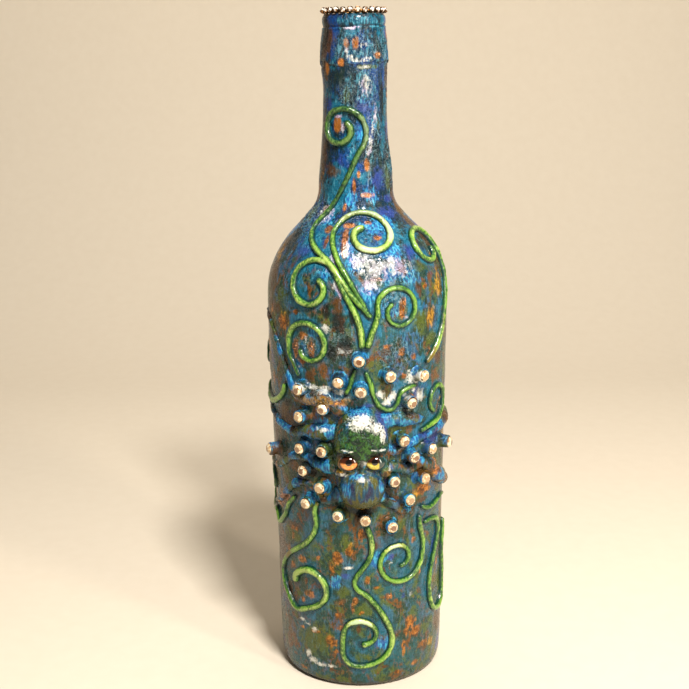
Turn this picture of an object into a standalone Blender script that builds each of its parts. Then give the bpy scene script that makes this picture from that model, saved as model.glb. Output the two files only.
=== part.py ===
"""Decorative bottle: a glass wine bottle under a skin of clay, with a sculpted octopus, set stones and scrolls.

The bottle stands on the floor at z = 0 with its axis on Z. The creature's head faces -Y, the front.
Lengths are in metres. Round the bottle, places are degrees from the front, positive towards +X, and
heights are shares of the glass's height.
"""

import math

import bmesh
import bpy
import numpy as np
from mathutils import Matrix, Vector

# The glass bottle
GLASS_HEIGHT = 0.3000
FOOT_RADIUS = 0.0318
FOOT_WIDTH = 0.0050
BASE_RADIUS = 0.0358
HEEL_HEIGHT = 0.0048
SHOULDER_RADIUS = 0.0386
SHOULDER_START = 0.1760
NECK_START = 0.2300
NECK_BASE_RADIUS = 0.0151
NECK_TOP_RADIUS = 0.0127
FINISH_HEIGHT = 0.0285
COLLAR_RADIUS = 0.0134
GROOVE_RADIUS = 0.0124
LIP_RADIUS = 0.0126
MOUTH_RADIUS = 0.0121
BORE_RADIUS = 0.0093
BORE_LENGTH = 0.0550
WALL = 0.0032
FLOOR_THICKNESS = 0.0050
PUNT_HEIGHT = 0.0120

# The fall of the shoulder: shares of its height, and of its drop in radius, from the body up to the neck
SHOULDER_SHARES = (
    (0.16, 0.022),
    (0.28, 0.088),
    (0.38, 0.184),
    (0.47, 0.311),
    (0.55, 0.453),
    (0.63, 0.631),
    (0.70, 0.778),
    (0.78, 0.918),
    (0.87, 0.984),
)
# The hollow taper of the neck, and then the rise of the collar over the finish, the same way up
NECK_SHARES = ((0.24, 0.38), (0.48, 0.74), (0.75, 0.95))
FINISH_SHARES = ((0.16, 0.50), (0.40, 1.00), (0.65, 0.45))
GROOVE_SHARE = 0.81
LIP_SHARE = 0.88

# The clay skin
SEAT_GAP = 0.0003
BODY_CLAY = 0.0017
NECK_CLAY = 0.0008
CLAY_LIFT = 0.0010

# The cup chain on the rim
CHAIN_COUNT = 34
CHAIN_RADIUS = 0.0132
CUP_RADIUS = 0.00102
CUP_HEIGHT = 0.0015
CHAIN_STONE_HEIGHT = 0.0009
CHAIN_STONE_SHARE = 0.45
CUP_TURN_SHARE = 0.5
CUP_SIDES = 6
LINK_WIDTH = 0.0009
LINK_HEIGHT = 0.0007

# The studs: clay posts, each with a cup at its end, and the cut stones set in them
STONE_RADIUS = 0.00235
STONE_GIRDLE = 0.0008
STONE_CROWN = 0.0011
STONE_TABLE_SHARE = 0.55
CUP_WALL = 0.0004
CUP_DEPTH = 0.0007
POST_LENGTH = 0.0046
POST_SINK = 0.0009
POST_FLARE = 0.0003
STUD_SIDES = 8
STUD_SHARES = (
    (0, 0.523),
    (-11.6, 0.493),
    (0.8, 0.478),
    (17.5, 0.498),
    (39.2, 0.493),
    (-36.3, 0.476),
    (-21.1, 0.452),
    (30.7, 0.456),
    (-36.6, 0.434),
    (26.1, 0.400),
    (-37, 0.386),
    (-22.4, 0.387),
    (33.1, 0.371),
    (47.1, 0.377),
    (-35, 0.351),
    (20.1, 0.338),
    (41.4, 0.334),
    (-24.1, 0.329),
    (-33.8, 0.302),
    (30.2, 0.305),
    (-13.3, 0.287),
    (2.6, 0.282),
    (18.8, 0.267),
    (-67, 0.365),
    (67, 0.373),
    (-113, 0.425),
    (-150, 0.350),
    (118, 0.350),
    (176, 0.420),
)

# The creature's head: a dome over a ball of a muzzle, on a low skirt, pushed and pinched into a face
HEAD_DEGREES = 1.0
HEAD_SHARE = 0.3745
DOME_WIDTH = 0.0220
DOME_HEIGHT = 0.0350
DOME_DEPTH = 0.0076
DOME_INSET = 0.0017
DOME_SQUARE_SHARE = 2.5
MUZZLE_WIDTH = 0.0196
MUZZLE_HEIGHT = 0.0216
MUZZLE_DEPTH = 0.0087
MUZZLE_INSET = 0.0002
BRIDGE_WIDTH = 0.0050
BRIDGE_HEIGHT = 0.0170
BRIDGE_DEPTH = 0.0076
BRIDGE_DROP = 0.0022
SKIRT_BORDER = 0.0018
SKIRT_HEIGHT = 0.0476
SKIRT_DEPTH = 0.0034
SKIRT_SQUARE_SHARE = 2.3
BALL_SQUARE_SHARE = 2
SKIRT_RISE = 0.0004
# Each push on the dome: across and up from the head's middle and its reach, as shares of the dome's
# width, then how far out it moves the clay, as a share of the dome's depth
PUSH_SHARES = (
    (0.00, 0.62, 0.60, 0.10),
    (-0.26, -0.05, 0.30, -0.42),
    (0.26, -0.05, 0.30, -0.42),
    (-0.26, 0.20, 0.22, 0.30),
    (0.26, 0.20, 0.22, 0.30),
    (-0.28, -0.21, 0.17, 0.20),
    (0.28, -0.21, 0.17, 0.20),
)
EYE_WIDTH = 0.0082
EYE_HEIGHT = 0.0062
EYE_DEPTH = 0.0046
EYE_SPACING = 0.0112
EYE_DROP = 0.0003
EYE_SET = 0.0044

# Rolled clay strips, from the widths at their thickest: a half-round section and how high it stands
TENDRIL_WIDTH = 0.0027
TENDRIL_HEIGHT = 0.0016
ARM_WIDTH = 0.0072
ARM_HEIGHT = 0.0034
SECTION_SHARES = ((-0.5, 0), (-0.36, 0.72), (0, 1), (0.36, 0.72), (0.5, 0))
TIP_SHARE = 0.5

# Arms: degrees and height share of each point, and its thickness as a share of the arm's
ARM_SHARES = {
    "arm_upper_left": (
        (-8, 0.440, 0.9),
        (-20, 0.4640, 1.0),
        (-29, 0.4610, 0.95),
        (-37, 0.4590, 0.65),
        (-45, 0.468, 0.50),
        (-51, 0.493, 0.45),
        (-59, 0.527, 0.40),
        (-70, 0.557, 0.34),
        (-84, 0.575, 0.26),
    ),
    "arm_left": (
        (-12, 0.415, 1.0),
        (-26, 0.411, 0.95),
        (-37, 0.409, 0.75),
        (-47, 0.404, 0.62),
        (-60, 0.408, 0.55),
        (-76, 0.420, 0.45),
        (-92, 0.424, 0.38),
        (-104, 0.404, 0.30),
    ),
    "arm_lower_left": (
        (-12, 0.362, 1.0),
        (-24, 0.3600, 0.9),
        (-35, 0.368, 0.62),
        (-45, 0.3670, 0.55),
        (-56, 0.354, 0.5),
        (-68, 0.338, 0.42),
        (-84, 0.332, 0.38),
        (-100, 0.345, 0.32),
        (-112, 0.365, 0.24),
    ),
    "arm_low_left": (
        (-10, 0.330, 1.0),
        (-17.5, 0.3090, 0.75),
        (-24.5, 0.3060, 0.52),
        (-29.8, 0.3190, 0.45),
        (-38, 0.3270, 0.45),
        (-47, 0.322, 0.5),
        (-57, 0.303, 0.5),
        (-68, 0.282, 0.42),
        (-82, 0.268, 0.28),
    ),
    "arm_low_right": (
        (8, 0.326, 1.0),
        (15, 0.3100, 0.75),
        (22, 0.2965, 0.6),
        (30, 0.2850, 0.5),
        (37.5, 0.2860, 0.3),
    ),
    "arm_lower_right": (
        (12, 0.362, 1.0),
        (25, 0.355, 0.72),
        (33.5, 0.3490, 0.72),
        (42, 0.3550, 0.68),
        (51, 0.346, 0.8),
        (61, 0.325, 1.0),
        (73, 0.309, 0.85),
        (88, 0.300, 0.6),
        (102, 0.309, 0.4),
        (112, 0.325, 0.24),
    ),
    "arm_right": (
        (14, 0.388, 0.9),
        (23, 0.3800, 0.65),
        (30, 0.3850, 0.55),
        (39, 0.3920, 0.55),
        (49, 0.3940, 0.5),
        (60, 0.399, 0.7),
        (76, 0.402, 0.7),
        (94, 0.403, 0.5),
        (110, 0.392, 0.4),
        (128, 0.385, 0.3),
        (140, 0.395, 0.22),
    ),
    "arm_upper_right": (
        (10, 0.428, 1.0),
        (24, 0.4300, 0.95),
        (35, 0.4270, 0.8),
        (46, 0.4190, 0.35),
    ),
}

# Tendrils that end in a curl: the stem's points as above, then the curl's centre, its first and last
# radius in degrees round the bottle, the bearing it starts on, its sweep, and how late it tightens
CURL_SHARES = {
    "neck_strand": (
        (
            (8, 0.583, 0.9),
            (-3, 0.613, 1.0),
            (-18, 0.655, 1.15),
            (-38, 0.683, 0.95),
            (-46, 0.703, 0.9),
            (-37, 0.727, 0.9),
            (-21, 0.757, 0.9),
            (-8, 0.782, 0.95),
        ),
        (-25.4, 0.840, 50, 19, 306, 405, 0.8, 0.95, 0.85),
    ),
    "left_strand": (
        ((1.2, 0.5385, 0.75), (1.0, 0.560, 1.0), (-1, 0.585, 1.0), (-6, 0.609, 0.95)),
        (-29.1, 0.628, 17, 3.5, 14, 398, 2.2, 0.9, 0.8),
    ),
    "crown_strand": (
        ((5.5, 0.592, 0.8), (-4, 0.630, 0.95), (-13, 0.660, 0.95)),
        (8.3, 0.6963, 30, 4, 203, -462, 1.5, 1.0, 0.8),
    ),
    "right_strand": (
        ((4.5, 0.5385, 0.75), (8, 0.557, 1.0), (11.2, 0.584, 1.0)),
        (24.6, 0.592, 14.2, 5, 150, -385, 1.4, 0.95, 0.8),
    ),
    "shoulder_tendril_right": (
        (
            (46, 0.506, 1.0),
            (55, 0.524, 1.5),
            (64, 0.552, 1.2),
            (71, 0.595, 1.0),
            (77, 0.635, 0.95),
        ),
        (63.6, 0.6717, 16.5, 5, 358, 346, 3.0, 0.95, 0.8),
    ),
    "body_tendril_left": (
        ((-39.5, 0.4905, 0.7), (-43, 0.507, 0.8), (-47, 0.524, 0.9)),
        (-33.0, 0.540, 14.2, 5, 183, -335, 2.6, 0.95, 0.75),
    ),
    "foot_tendril_left": (
        (
            (-28.5, 0.2975, 0.9),
            (-30.5, 0.285, 1.0),
            (-30.5, 0.258, 1.0),
            (-36, 0.235, 1.05),
            (-46, 0.219, 1.0),
            (-62, 0.186, 0.95),
            (-67, 0.165, 0.95),
            (-64, 0.145, 0.95),
            (-57, 0.126, 1.05),
        ),
        (-38.7, 0.1587, 20.5, 11, 252, 290, 0.5, 1.1, 1.35),
    ),
    "foot_tendril_middle": (
        (
            (3.5, 0.2690, 0.9),
            (6.6, 0.242, 1.05),
            (5, 0.212, 1.0),
            (-2.5, 0.188, 0.95),
            (-3.5, 0.167, 1.0),
            (4, 0.155, 0.95),
            (14, 0.121, 1.0),
        ),
        (0.6, 0.0817, 20.4, 3.2, 26, -490, 1.6, 1.15, 0.95),
    ),
    "foot_tendril_right": (
        ((42, 0.272, 0.9), (43, 0.250, 1.0), (46, 0.228, 1.0)),
        (25.8, 0.2087, 20.0, 4.5, 6, -455, 0.9, 1.0, 0.85),
    ),
    "side_hook_right": (
        ((42, 0.4035, 0.8), (51, 0.4080, 0.95), (61, 0.4130, 1.0)),
        (59.2, 0.4443, 11.8, 7.6, 318, 300, 0.5, 1.0, 0.8),
    ),
    "edge_tendril_left": (
        (
            (-52.8, 0.4755, 1.0),
            (-56, 0.459, 1.1),
            (-63, 0.446, 1.1),
            (-74, 0.437, 1.05),
            (-88, 0.441, 1.0),
        ),
        (-99, 0.490, 17, 6, 280, -300, 1.2, 1.0, 0.8),
    ),
    "side_loop_left": (
        ((-47, 0.301, 0.8), (-54, 0.285, 0.95), (-60, 0.262, 1.0), (-70, 0.244, 1.0)),
        (-86, 0.296, 19, 7, 305, -320, 1.2, 1.0, 0.8),
    ),
    "back_tendril_right": (
        (
            (124, 0.420, 0.9),
            (132, 0.470, 1.0),
            (128, 0.520, 1.0),
            (136, 0.565, 1.0),
        ),
        (118, 0.610, 18, 5, 340, 400, 1.2, 1.0, 0.8),
    ),
    "back_tendril_left": (
        (
            (-150, 0.400, 0.9),
            (-160, 0.450, 1.0),
            (-168, 0.500, 1.0),
            (-160, 0.560, 1.0),
        ),
        (-178, 0.610, 19, 5, 340, 420, 1.2, 1.0, 0.8),
    ),
    "back_tendril_low": (
        (
            (166, 0.330, 0.9),
            (158, 0.280, 1.0),
            (164, 0.230, 1.0),
            (176, 0.185, 1.0),
        ),
        (158, 0.130, 20, 5, 60, -430, 1.2, 1.0, 0.85),
    ),
}

# Tendrils with no curl
STROKE_SHARES = {
    "strand_by_stud_left": (
        (-1.9, 0.5100, 0.7),
        (-4.2, 0.4960, 0.9),
        (-5.8, 0.4820, 0.85),
        (-8.5, 0.4710, 0.8),
    ),
    "strand_by_stud_right": (
        (3.5, 0.5060, 0.7),
        (6.6, 0.4900, 0.9),
        (8.6, 0.4700, 0.9),
        (13, 0.4515, 0.9),
        (19, 0.4455, 0.9),
        (23.6, 0.4530, 0.85),
        (26.4, 0.4690, 0.85),
        (33, 0.4760, 0.8),
        (38.5, 0.4765, 0.6),
    ),
    "foot_loop_right": (
        (46.5, 0.2560, 0.9),
        (56, 0.2560, 1.0),
        (63, 0.249, 1.0),
        (65, 0.230, 1.0),
        (60, 0.200, 0.95),
        (54.5, 0.165, 0.95),
        (54, 0.130, 1.0),
        (60, 0.103, 1.05),
        (70, 0.098, 1.05),
        (77, 0.112, 1.0),
        (79, 0.150, 1.0),
        (77, 0.190, 0.95),
        (82, 0.235, 0.9),
    ),
    "side_stroke_right": (
        (43.5, 0.2850, 0.8),
        (51, 0.2770, 0.95),
        (60, 0.2790, 0.95),
        (70, 0.2830, 0.8),
        (80, 0.278, 0.6),
    ),
}
SPRAY = ("neck_strand", "left_strand", "crown_strand", "right_strand")
SPRAY_STEP = 0.00006

# How finely round forms are cut into facets
BODY_FACETS = 30
QUARTER_CUTS = 3
HOLLOW_ROW_STEP = 3
EYE_FACETS = 12
HEAD_FACETS = 26
MUZZLE_FACETS = 18
BRIDGE_FACETS = 12
RING_SHARE = 0.67
CURL_STEP_DEGREES = 36
STEM_STEP_DEGREES = 12
TIP_DEGREES = 1.2
CHART_ROWS = 1200
SMOOTH_DEGREES = 40
WELD_GAP = 0.000001


def clear_scene():
    """Removes what the scene holds and makes the collections for the parts and for their cutters."""
    for old in list(bpy.data.objects):
        bpy.data.objects.remove(old, do_unlink=True)
    made = []
    for name in ("decorative_bottle", "cutters"):
        collection = bpy.data.collections.new(name)
        bpy.context.scene.collection.children.link(collection)
        made.append(collection)
    return made


PARTS, CUTTERS = clear_scene()


def material(name, colour, roughness, metallic=0.0):
    made = bpy.data.materials.new(name)
    made.use_nodes = True
    shader = made.node_tree.nodes["Principled BSDF"]
    shader.inputs["Base Color"].default_value = (*colour, 1)
    shader.inputs["Roughness"].default_value = roughness
    shader.inputs["Metallic"].default_value = metallic
    return made


def smooth(mesh):
    """Shades the mesh smooth over its gentle edges."""
    mesh.shade_smooth()
    mesh.set_sharp_from_angle(angle=math.radians(SMOOTH_DEGREES))


def add_part(name, mesh, finish):
    """Puts a finished mesh in the scene as a part."""
    part = bpy.data.objects.new(name, mesh)
    PARTS.objects.link(part)
    mesh.materials.clear()
    mesh.materials.append(finish)
    smooth(mesh)
    return part


def add_cutter(name, mesh):
    smooth(mesh)
    cutter = bpy.data.objects.new(name, mesh)
    CUTTERS.objects.link(cutter)
    cutter.hide_render = True
    cutter.display_type = "WIRE"
    return cutter


def mesh_from(bm, name):
    mesh = bpy.data.meshes.new(name)
    bm.to_mesh(mesh)
    bm.free()
    return mesh


def evaluated_mesh(part):
    """The object's mesh with its modifiers applied and its loose caps welded, faces out."""
    bpy.context.view_layer.update()
    graph = bpy.context.evaluated_depsgraph_get()
    mesh = bpy.data.meshes.new_from_object(part.evaluated_get(graph))
    bm = bmesh.new()
    bm.from_mesh(mesh)
    bmesh.ops.remove_doubles(bm, verts=bm.verts, dist=WELD_GAP)
    bmesh.ops.recalc_face_normals(bm, faces=bm.faces)
    bm.to_mesh(mesh)
    bm.free()
    return mesh


def between(start, end, shares):
    """Rows from one (height, radius) towards another, at the shares given of each."""
    return [
        (start[0] + (end[0] - start[0]) * up, start[1] + (end[1] - start[1]) * along)
        for up, along in shares
    ]


def quarter(radius, rise):
    """Points of a quarter ellipse as (across, up), without its two ends."""
    bearings = [math.radians(90 * cut / QUARTER_CUTS) for cut in range(1, QUARTER_CUTS)]
    return [(radius * math.cos(bearing), rise * math.sin(bearing)) for bearing in bearings]


def glass_rows():
    """The glass's outer side from the foot up, as (height, radius)."""
    foot = (0, FOOT_RADIUS)
    base = (HEEL_HEIGHT, BASE_RADIUS)
    heel = [
        (HEEL_HEIGHT - drop, FOOT_RADIUS + reach)
        for drop, reach in quarter(HEEL_HEIGHT, BASE_RADIUS - FOOT_RADIUS)
    ]
    shoulder = (SHOULDER_START, SHOULDER_RADIUS)
    neck = (NECK_START, NECK_BASE_RADIUS)
    finish_start = GLASS_HEIGHT - FINISH_HEIGHT
    finish = (finish_start, NECK_TOP_RADIUS)
    collar = (GLASS_HEIGHT, COLLAR_RADIUS)
    return [
        foot,
        *heel,
        base,
        shoulder,
        *between(shoulder, neck, SHOULDER_SHARES),
        neck,
        *between(neck, finish, NECK_SHARES),
        finish,
        *between(finish, collar, FINISH_SHARES),
        (finish_start + FINISH_HEIGHT * GROOVE_SHARE, GROOVE_RADIUS),
        (finish_start + FINISH_HEIGHT * LIP_SHARE, LIP_RADIUS),
        (GLASS_HEIGHT, MOUTH_RADIUS),
    ]


def row_slopes(rows):
    """How fast the radius grows with height at each row, averaged over its two sides."""
    heights, radii = np.array(rows).T
    rises = np.diff(radii) / np.diff(heights)
    return np.concatenate([rises[:1], (rises[1:] + rises[:-1]) / 2, rises[-1:]])


def offset_rows(rows, distance):
    """The rows moved square to their side by distance(height), with the ends kept level."""
    moved = []
    for (height, radius), slope in zip(rows, row_slopes(rows)):
        away = distance(height) / math.hypot(1, slope)
        moved.append((height - slope * away, radius + away))
    for end in (0, -1):
        height, radius = rows[end]
        moved[end] = (height, radius + distance(height))
    return moved


def rows_from(rows, height):
    """The rows from a height up, starting exactly there."""
    heights, radii = np.array(rows).T
    first = (height, float(np.interp(height, heights, radii)))
    return [first, *[row for row in rows if row[0] > height]]


def clay_thickness(height):
    """Thick on the body, thinning over the shoulder to the neck."""
    return float(np.interp(height, (SHOULDER_START, NECK_START), (BODY_CLAY, NECK_CLAY)))


def profile_mesh(name, rows, closed):
    """A turned piece's profile in the XZ plane, from (height, radius) rows in the order given."""
    bm = bmesh.new()
    points = [bm.verts.new((radius, 0, height)) for height, radius in rows]
    for first, second in zip(points, points[1:]):
        bm.edges.new((first, second))
    if closed:
        bm.edges.new((points[-1], points[0]))
    return mesh_from(bm, name)


def turn(part, facets):
    screw = part.modifiers.new("turned", "SCREW")
    screw.angle = math.radians(360)
    screw.steps = facets
    screw.render_steps = facets
    screw.use_merge_vertices = True
    screw.merge_threshold = WELD_GAP
    screw.use_smooth_shade = True


GLASS_ROWS = glass_rows()
GLASS_SIDE = rows_from(GLASS_ROWS, CLAY_LIFT)
CLAY_INSIDE = offset_rows(GLASS_SIDE, lambda height: SEAT_GAP)
CLAY_OUTSIDE = offset_rows(GLASS_SIDE, lambda height: SEAT_GAP + clay_thickness(height))


def make_glass():
    """The bottle: its wall, punt and bore are turned from one profile."""
    ring = FOOT_RADIUS - FOOT_WIDTH
    punt = [(rise, radius) for radius, rise in quarter(ring, PUNT_HEIGHT)]
    top = (GLASS_HEIGHT, BORE_RADIUS)
    bore = (GLASS_HEIGHT - BORE_LENGTH, BORE_RADIUS)
    inner = offset_rows(GLASS_ROWS, lambda height: -WALL)
    hollow = [row for row in inner if HEEL_HEIGHT + WALL < row[0] < bore[0] - WALL]
    floor = [(FLOOR_THICKNESS, FOOT_RADIUS - FOOT_WIDTH / 2)]
    corner = [(HEEL_HEIGHT + WALL, BASE_RADIUS - WALL)]
    over_punt = [(rise + FLOOR_THICKNESS, radius) for rise, radius in punt]
    rows = [
        (PUNT_HEIGHT + FLOOR_THICKNESS, 0),
        *reversed(over_punt),
        *floor,
        *corner,
        *hollow[::HOLLOW_ROW_STEP],
        bore,
        top,
        *reversed(GLASS_ROWS),
        (0, ring),
        *punt,
        (PUNT_HEIGHT, 0),
    ]
    finish = material("bottle_glass", (0.10, 0.22, 0.12), 0.08)
    glass = add_part("glass_bottle", profile_mesh("glass_bottle", rows, False), finish)
    turn(glass, BODY_FACETS)


def stud_frame(degrees, share):
    """A frame on the clay whose Z points straight out from the bottle's axis."""
    height = share * GLASS_HEIGHT
    heights, radii = np.array(CLAY_OUTSIDE).T
    radius = float(np.interp(height, heights, radii))
    round_axis = Matrix.Rotation(math.radians(degrees), 4, "Z")
    lean_out = Matrix.Rotation(math.radians(90), 4, "X")
    return Matrix.Translation((0, 0, height)) @ round_axis @ Matrix.Translation((0, -radius, 0)) @ lean_out


POST_RADIUS = STONE_RADIUS + SEAT_GAP + CUP_WALL


def add_cone(bm, frame, low_radius, high_radius, start, end, sides):
    """A cone or cylinder along the frame's Z between two heights, with its new faces and top."""
    middle = frame @ Matrix.Translation((0, 0, (start + end) / 2))
    made = bmesh.ops.create_cone(
        bm,
        cap_ends=True,
        segments=sides,
        radius1=low_radius,
        radius2=high_radius,
        depth=end - start,
        matrix=middle,
    )
    out = (frame.to_3x3() @ Vector((0, 0, 1))).normalized()
    faces = {face for vert in made["verts"] for face in vert.link_faces}
    top = max(faces, key=lambda face: face.calc_center_median().dot(out))
    return top, out


def hollow_top(bm, top, out, rim, depth):
    """Sinks a cup into a flat top, inside a rim."""
    bmesh.ops.inset_individual(bm, faces=[top], thickness=rim, use_even_offset=True)
    floor = bmesh.ops.extrude_discrete_faces(bm, faces=[top])["faces"][0]
    bmesh.ops.translate(bm, verts=floor.verts, vec=out * -depth)


def crown(bm, top, out, table_share, rise):
    """Raises a cut stone's crown from a flat top, narrowing to its table."""
    table = bmesh.ops.extrude_discrete_faces(bm, faces=[top])["faces"][0]
    middle = Matrix.Translation(-table.calc_center_median())
    bmesh.ops.scale(bm, verts=table.verts, vec=(table_share,) * 3, space=middle)
    bmesh.ops.translate(bm, verts=table.verts, vec=out * rise)


def make_posts():
    """All the clay posts, each flared at its foot and cupped at its end, in one mesh."""
    bm = bmesh.new()
    for degrees, share in STUD_SHARES:
        frame = stud_frame(degrees, share)
        top, out = add_cone(
            bm, frame, POST_RADIUS + POST_FLARE, POST_RADIUS, -POST_SINK, POST_LENGTH, STUD_SIDES
        )
        hollow_top(bm, top, out, CUP_WALL, CUP_DEPTH)
    return add_cutter("posts", mesh_from(bm, "posts"))


def make_stud_clearances():
    """The room that every other piece leaves round the posts."""
    bm = bmesh.new()
    radius = POST_RADIUS + POST_FLARE + SEAT_GAP
    for degrees, share in STUD_SHARES:
        frame = stud_frame(degrees, share)
        add_cone(bm, frame, radius, radius, -POST_LENGTH, 2 * POST_LENGTH, STUD_SIDES)
    return add_cutter("stud_clearances", mesh_from(bm, "stud_clearances"))


def make_stones():
    """A cut stone in each cup: a straight girdle under a crown with a flat table."""
    finish = material("cut_stone", (0.95, 0.86, 0.78), 0.05)
    floor = POST_LENGTH - CUP_DEPTH + SEAT_GAP
    for count, (degrees, share) in enumerate(STUD_SHARES, 1):
        bm = bmesh.new()
        frame = stud_frame(degrees, share)
        top, out = add_cone(
            bm, frame, STONE_RADIUS, STONE_RADIUS, floor, floor + STONE_GIRDLE, STUD_SIDES
        )
        crown(bm, top, out, STONE_TABLE_SHARE, STONE_CROWN)
        name = f"stone_{count:02d}"
        add_part(name, mesh_from(bm, name), finish)


def boolean(part, other, operation, solver="EXACT"):
    cut = part.modifiers.new(f"{operation.lower()} {other.name}", "BOOLEAN")
    cut.operation = operation
    cut.object = other
    cut.solver = solver


def make_clay():
    """The clay skin over the glass, with the posts that are pressed into it."""
    rows = [*reversed(CLAY_OUTSIDE), *CLAY_INSIDE]
    finish = material("painted_clay", (0.06, 0.22, 0.30), 0.30)
    clay = add_part("clay_skin", profile_mesh("clay_skin", rows, True), finish)
    turn(clay, BODY_FACETS)
    boolean(clay, make_posts(), "UNION")


def make_seat():
    """The bottle's outside grown by the seat gap, which shapes the back of what lies on it."""
    grown = offset_rows(CLAY_OUTSIDE, lambda height: SEAT_GAP)
    rows = [(GLASS_HEIGHT, 0), *reversed(grown), (CLAY_LIFT, 0)]
    seat = add_cutter("seat", profile_mesh("seat", rows, False))
    turn(seat, BODY_FACETS)
    return seat


def make_rim_chain():
    """Small round cups on a link band round the lip, each with its stone, fused into one ring."""
    base = GLASS_HEIGHT + SEAT_GAP
    inside = CHAIN_RADIUS - LINK_WIDTH / 2
    outside = CHAIN_RADIUS + LINK_WIDTH / 2
    band = [
        (base + LINK_HEIGHT, inside),
        (base + LINK_HEIGHT, outside),
        (base, outside),
        (base, inside),
    ]
    finish = material("gilt_chain", (0.75, 0.60, 0.38), 0.25, 1.0)
    chain = add_part("rim_cup_chain", profile_mesh("rim_cup_chain", band, True), finish)
    turn(chain, CHAIN_COUNT)
    bm = bmesh.new()
    foot = base + LINK_HEIGHT / 2
    for count in range(CHAIN_COUNT):
        turned = Matrix.Rotation(math.radians(360 * (count + CUP_TURN_SHARE) / CHAIN_COUNT), 4, "Z")
        frame = turned @ Matrix.Translation((0, -CHAIN_RADIUS, 0))
        top, out = add_cone(bm, frame, CUP_RADIUS, CUP_RADIUS, foot, foot + CUP_HEIGHT, CUP_SIDES)
        crown(bm, top, out, CHAIN_STONE_SHARE, CHAIN_STONE_HEIGHT)
    boolean(chain, add_cutter("cups", mesh_from(bm, "cups")), "UNION")


def head_frame():
    """A frame on the clay behind the middle of the head: X across the face, -Y out of it, Z up."""
    height = HEAD_SHARE * GLASS_HEIGHT
    heights, radii = np.array(CLAY_OUTSIDE).T
    radius = float(np.interp(height, heights, radii))
    turned = Matrix.Rotation(math.radians(HEAD_DEGREES), 4, "Z")
    return turned @ Matrix.Translation((0, -radius, height))


def head_ball(name, middle, sizes, facets, squareness=BALL_SQUARE_SHARE, pushes=()):
    """A stretched ball at a place of the head, rounder or squarer, with its front pushed in and out."""
    bm = bmesh.new()
    rings = round(facets * RING_SHARE)
    verts = bmesh.ops.create_uvsphere(bm, u_segments=facets, v_segments=rings, radius=1)["verts"]
    for vert in verts:
        reach = sum(abs(part) ** squareness for part in vert.co) ** (1 / squareness)
        vert.co = Vector(part / reach * size / 2 for part, size in zip(vert.co, sizes)) + Vector(middle)
    for across, up, size, push in pushes:
        for vert in verts:
            away = math.hypot(vert.co.x - across * DOME_WIDTH, vert.co.z - up * DOME_WIDTH)
            near = max(0, 1 - away / (size * DOME_WIDTH))
            if vert.co.y < 0:
                vert.co.y -= push * DOME_DEPTH * near * near * (3 - 2 * near)
    bmesh.ops.transform(bm, matrix=head_frame(), verts=bm.verts)
    return mesh_from(bm, name)


SKIRT_SIZES = (DOME_WIDTH + 2 * SKIRT_BORDER, 2 * SKIRT_DEPTH, SKIRT_HEIGHT)
SKIRT_TOP = SKIRT_RISE + SKIRT_HEIGHT / 2
SKIRT_FOOT = SKIRT_RISE - SKIRT_HEIGHT / 2
DOME_SIZES = (DOME_WIDTH, 2 * DOME_DEPTH, DOME_HEIGHT)
DOME_RISE = SKIRT_TOP - DOME_INSET - DOME_HEIGHT / 2
MUZZLE_SIZES = (MUZZLE_WIDTH, 2 * MUZZLE_DEPTH, MUZZLE_HEIGHT)
MUZZLE_RISE = SKIRT_FOOT + MUZZLE_INSET + MUZZLE_HEIGHT / 2
BRIDGE_SIZES = (BRIDGE_WIDTH, 2 * BRIDGE_DEPTH, BRIDGE_HEIGHT)
# The head's forms from the bottle out: rise, sizes, squareness, facets
HEAD_FORMS = {
    "skirt": (SKIRT_RISE, SKIRT_SIZES, SKIRT_SQUARE_SHARE, MUZZLE_FACETS),
    "dome": (DOME_RISE, DOME_SIZES, DOME_SQUARE_SHARE, HEAD_FACETS),
    "muzzle": (MUZZLE_RISE, MUZZLE_SIZES, BALL_SQUARE_SHARE, MUZZLE_FACETS),
    "nose_bridge": (-BRIDGE_DROP, BRIDGE_SIZES, BALL_SQUARE_SHARE, BRIDGE_FACETS),
}


def make_head(seat, stud_clearances):
    """The head: dome, muzzle, nose bridge and skirt are one piece of clay, hollowed for two glass eyes."""
    finish = material("painted_head", (0.08, 0.24, 0.18), 0.30)
    rise, sizes, squareness, facets = HEAD_FORMS["dome"]
    dome = head_ball("creature_head", (0, 0, rise), sizes, facets, squareness, PUSH_SHARES)
    head = add_part("creature_head", dome, finish)
    for name in ("muzzle", "nose_bridge", "skirt"):
        rise, sizes, squareness, facets = HEAD_FORMS[name]
        form = head_ball(name, (0, 0, rise), sizes, facets, squareness)
        boolean(head, add_cutter(name, form), "UNION")

    glass = material("amber_glass", (0.85, 0.45, 0.08), 0.06)
    sizes = (EYE_WIDTH, EYE_DEPTH, EYE_HEIGHT)
    grown = [size + 2 * SEAT_GAP for size in sizes]
    for side, name in ((-1, "eye_left"), (1, "eye_right")):
        middle = (side * EYE_SPACING / 2, -EYE_SET, -EYE_DROP)
        add_part(name, head_ball(name, middle, sizes, EYE_FACETS), glass)
        socket = add_cutter(f"{name}_socket", head_ball(f"{name}_socket", middle, grown, EYE_FACETS))
        boolean(head, socket, "DIFFERENCE")
    boolean(head, stud_clearances, "DIFFERENCE")
    boolean(head, seat, "DIFFERENCE")


def make_head_clearances():
    """The room that arms and scrolls leave round the head's skirt, dome and muzzle, over its whole height."""
    clearances = []
    for name in ("skirt", "dome", "muzzle"):
        rise, (width, _, height), squareness, facets = HEAD_FORMS[name]
        sizes = (width + 2 * SEAT_GAP, 2 * MUZZLE_DEPTH, height + 2 * SEAT_GAP)
        grown = head_ball(f"{name}_clearance", (0, 0, rise), sizes, facets, squareness)
        clearances.append(add_cutter(f"{name}_clearance", grown))
    return clearances


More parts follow.
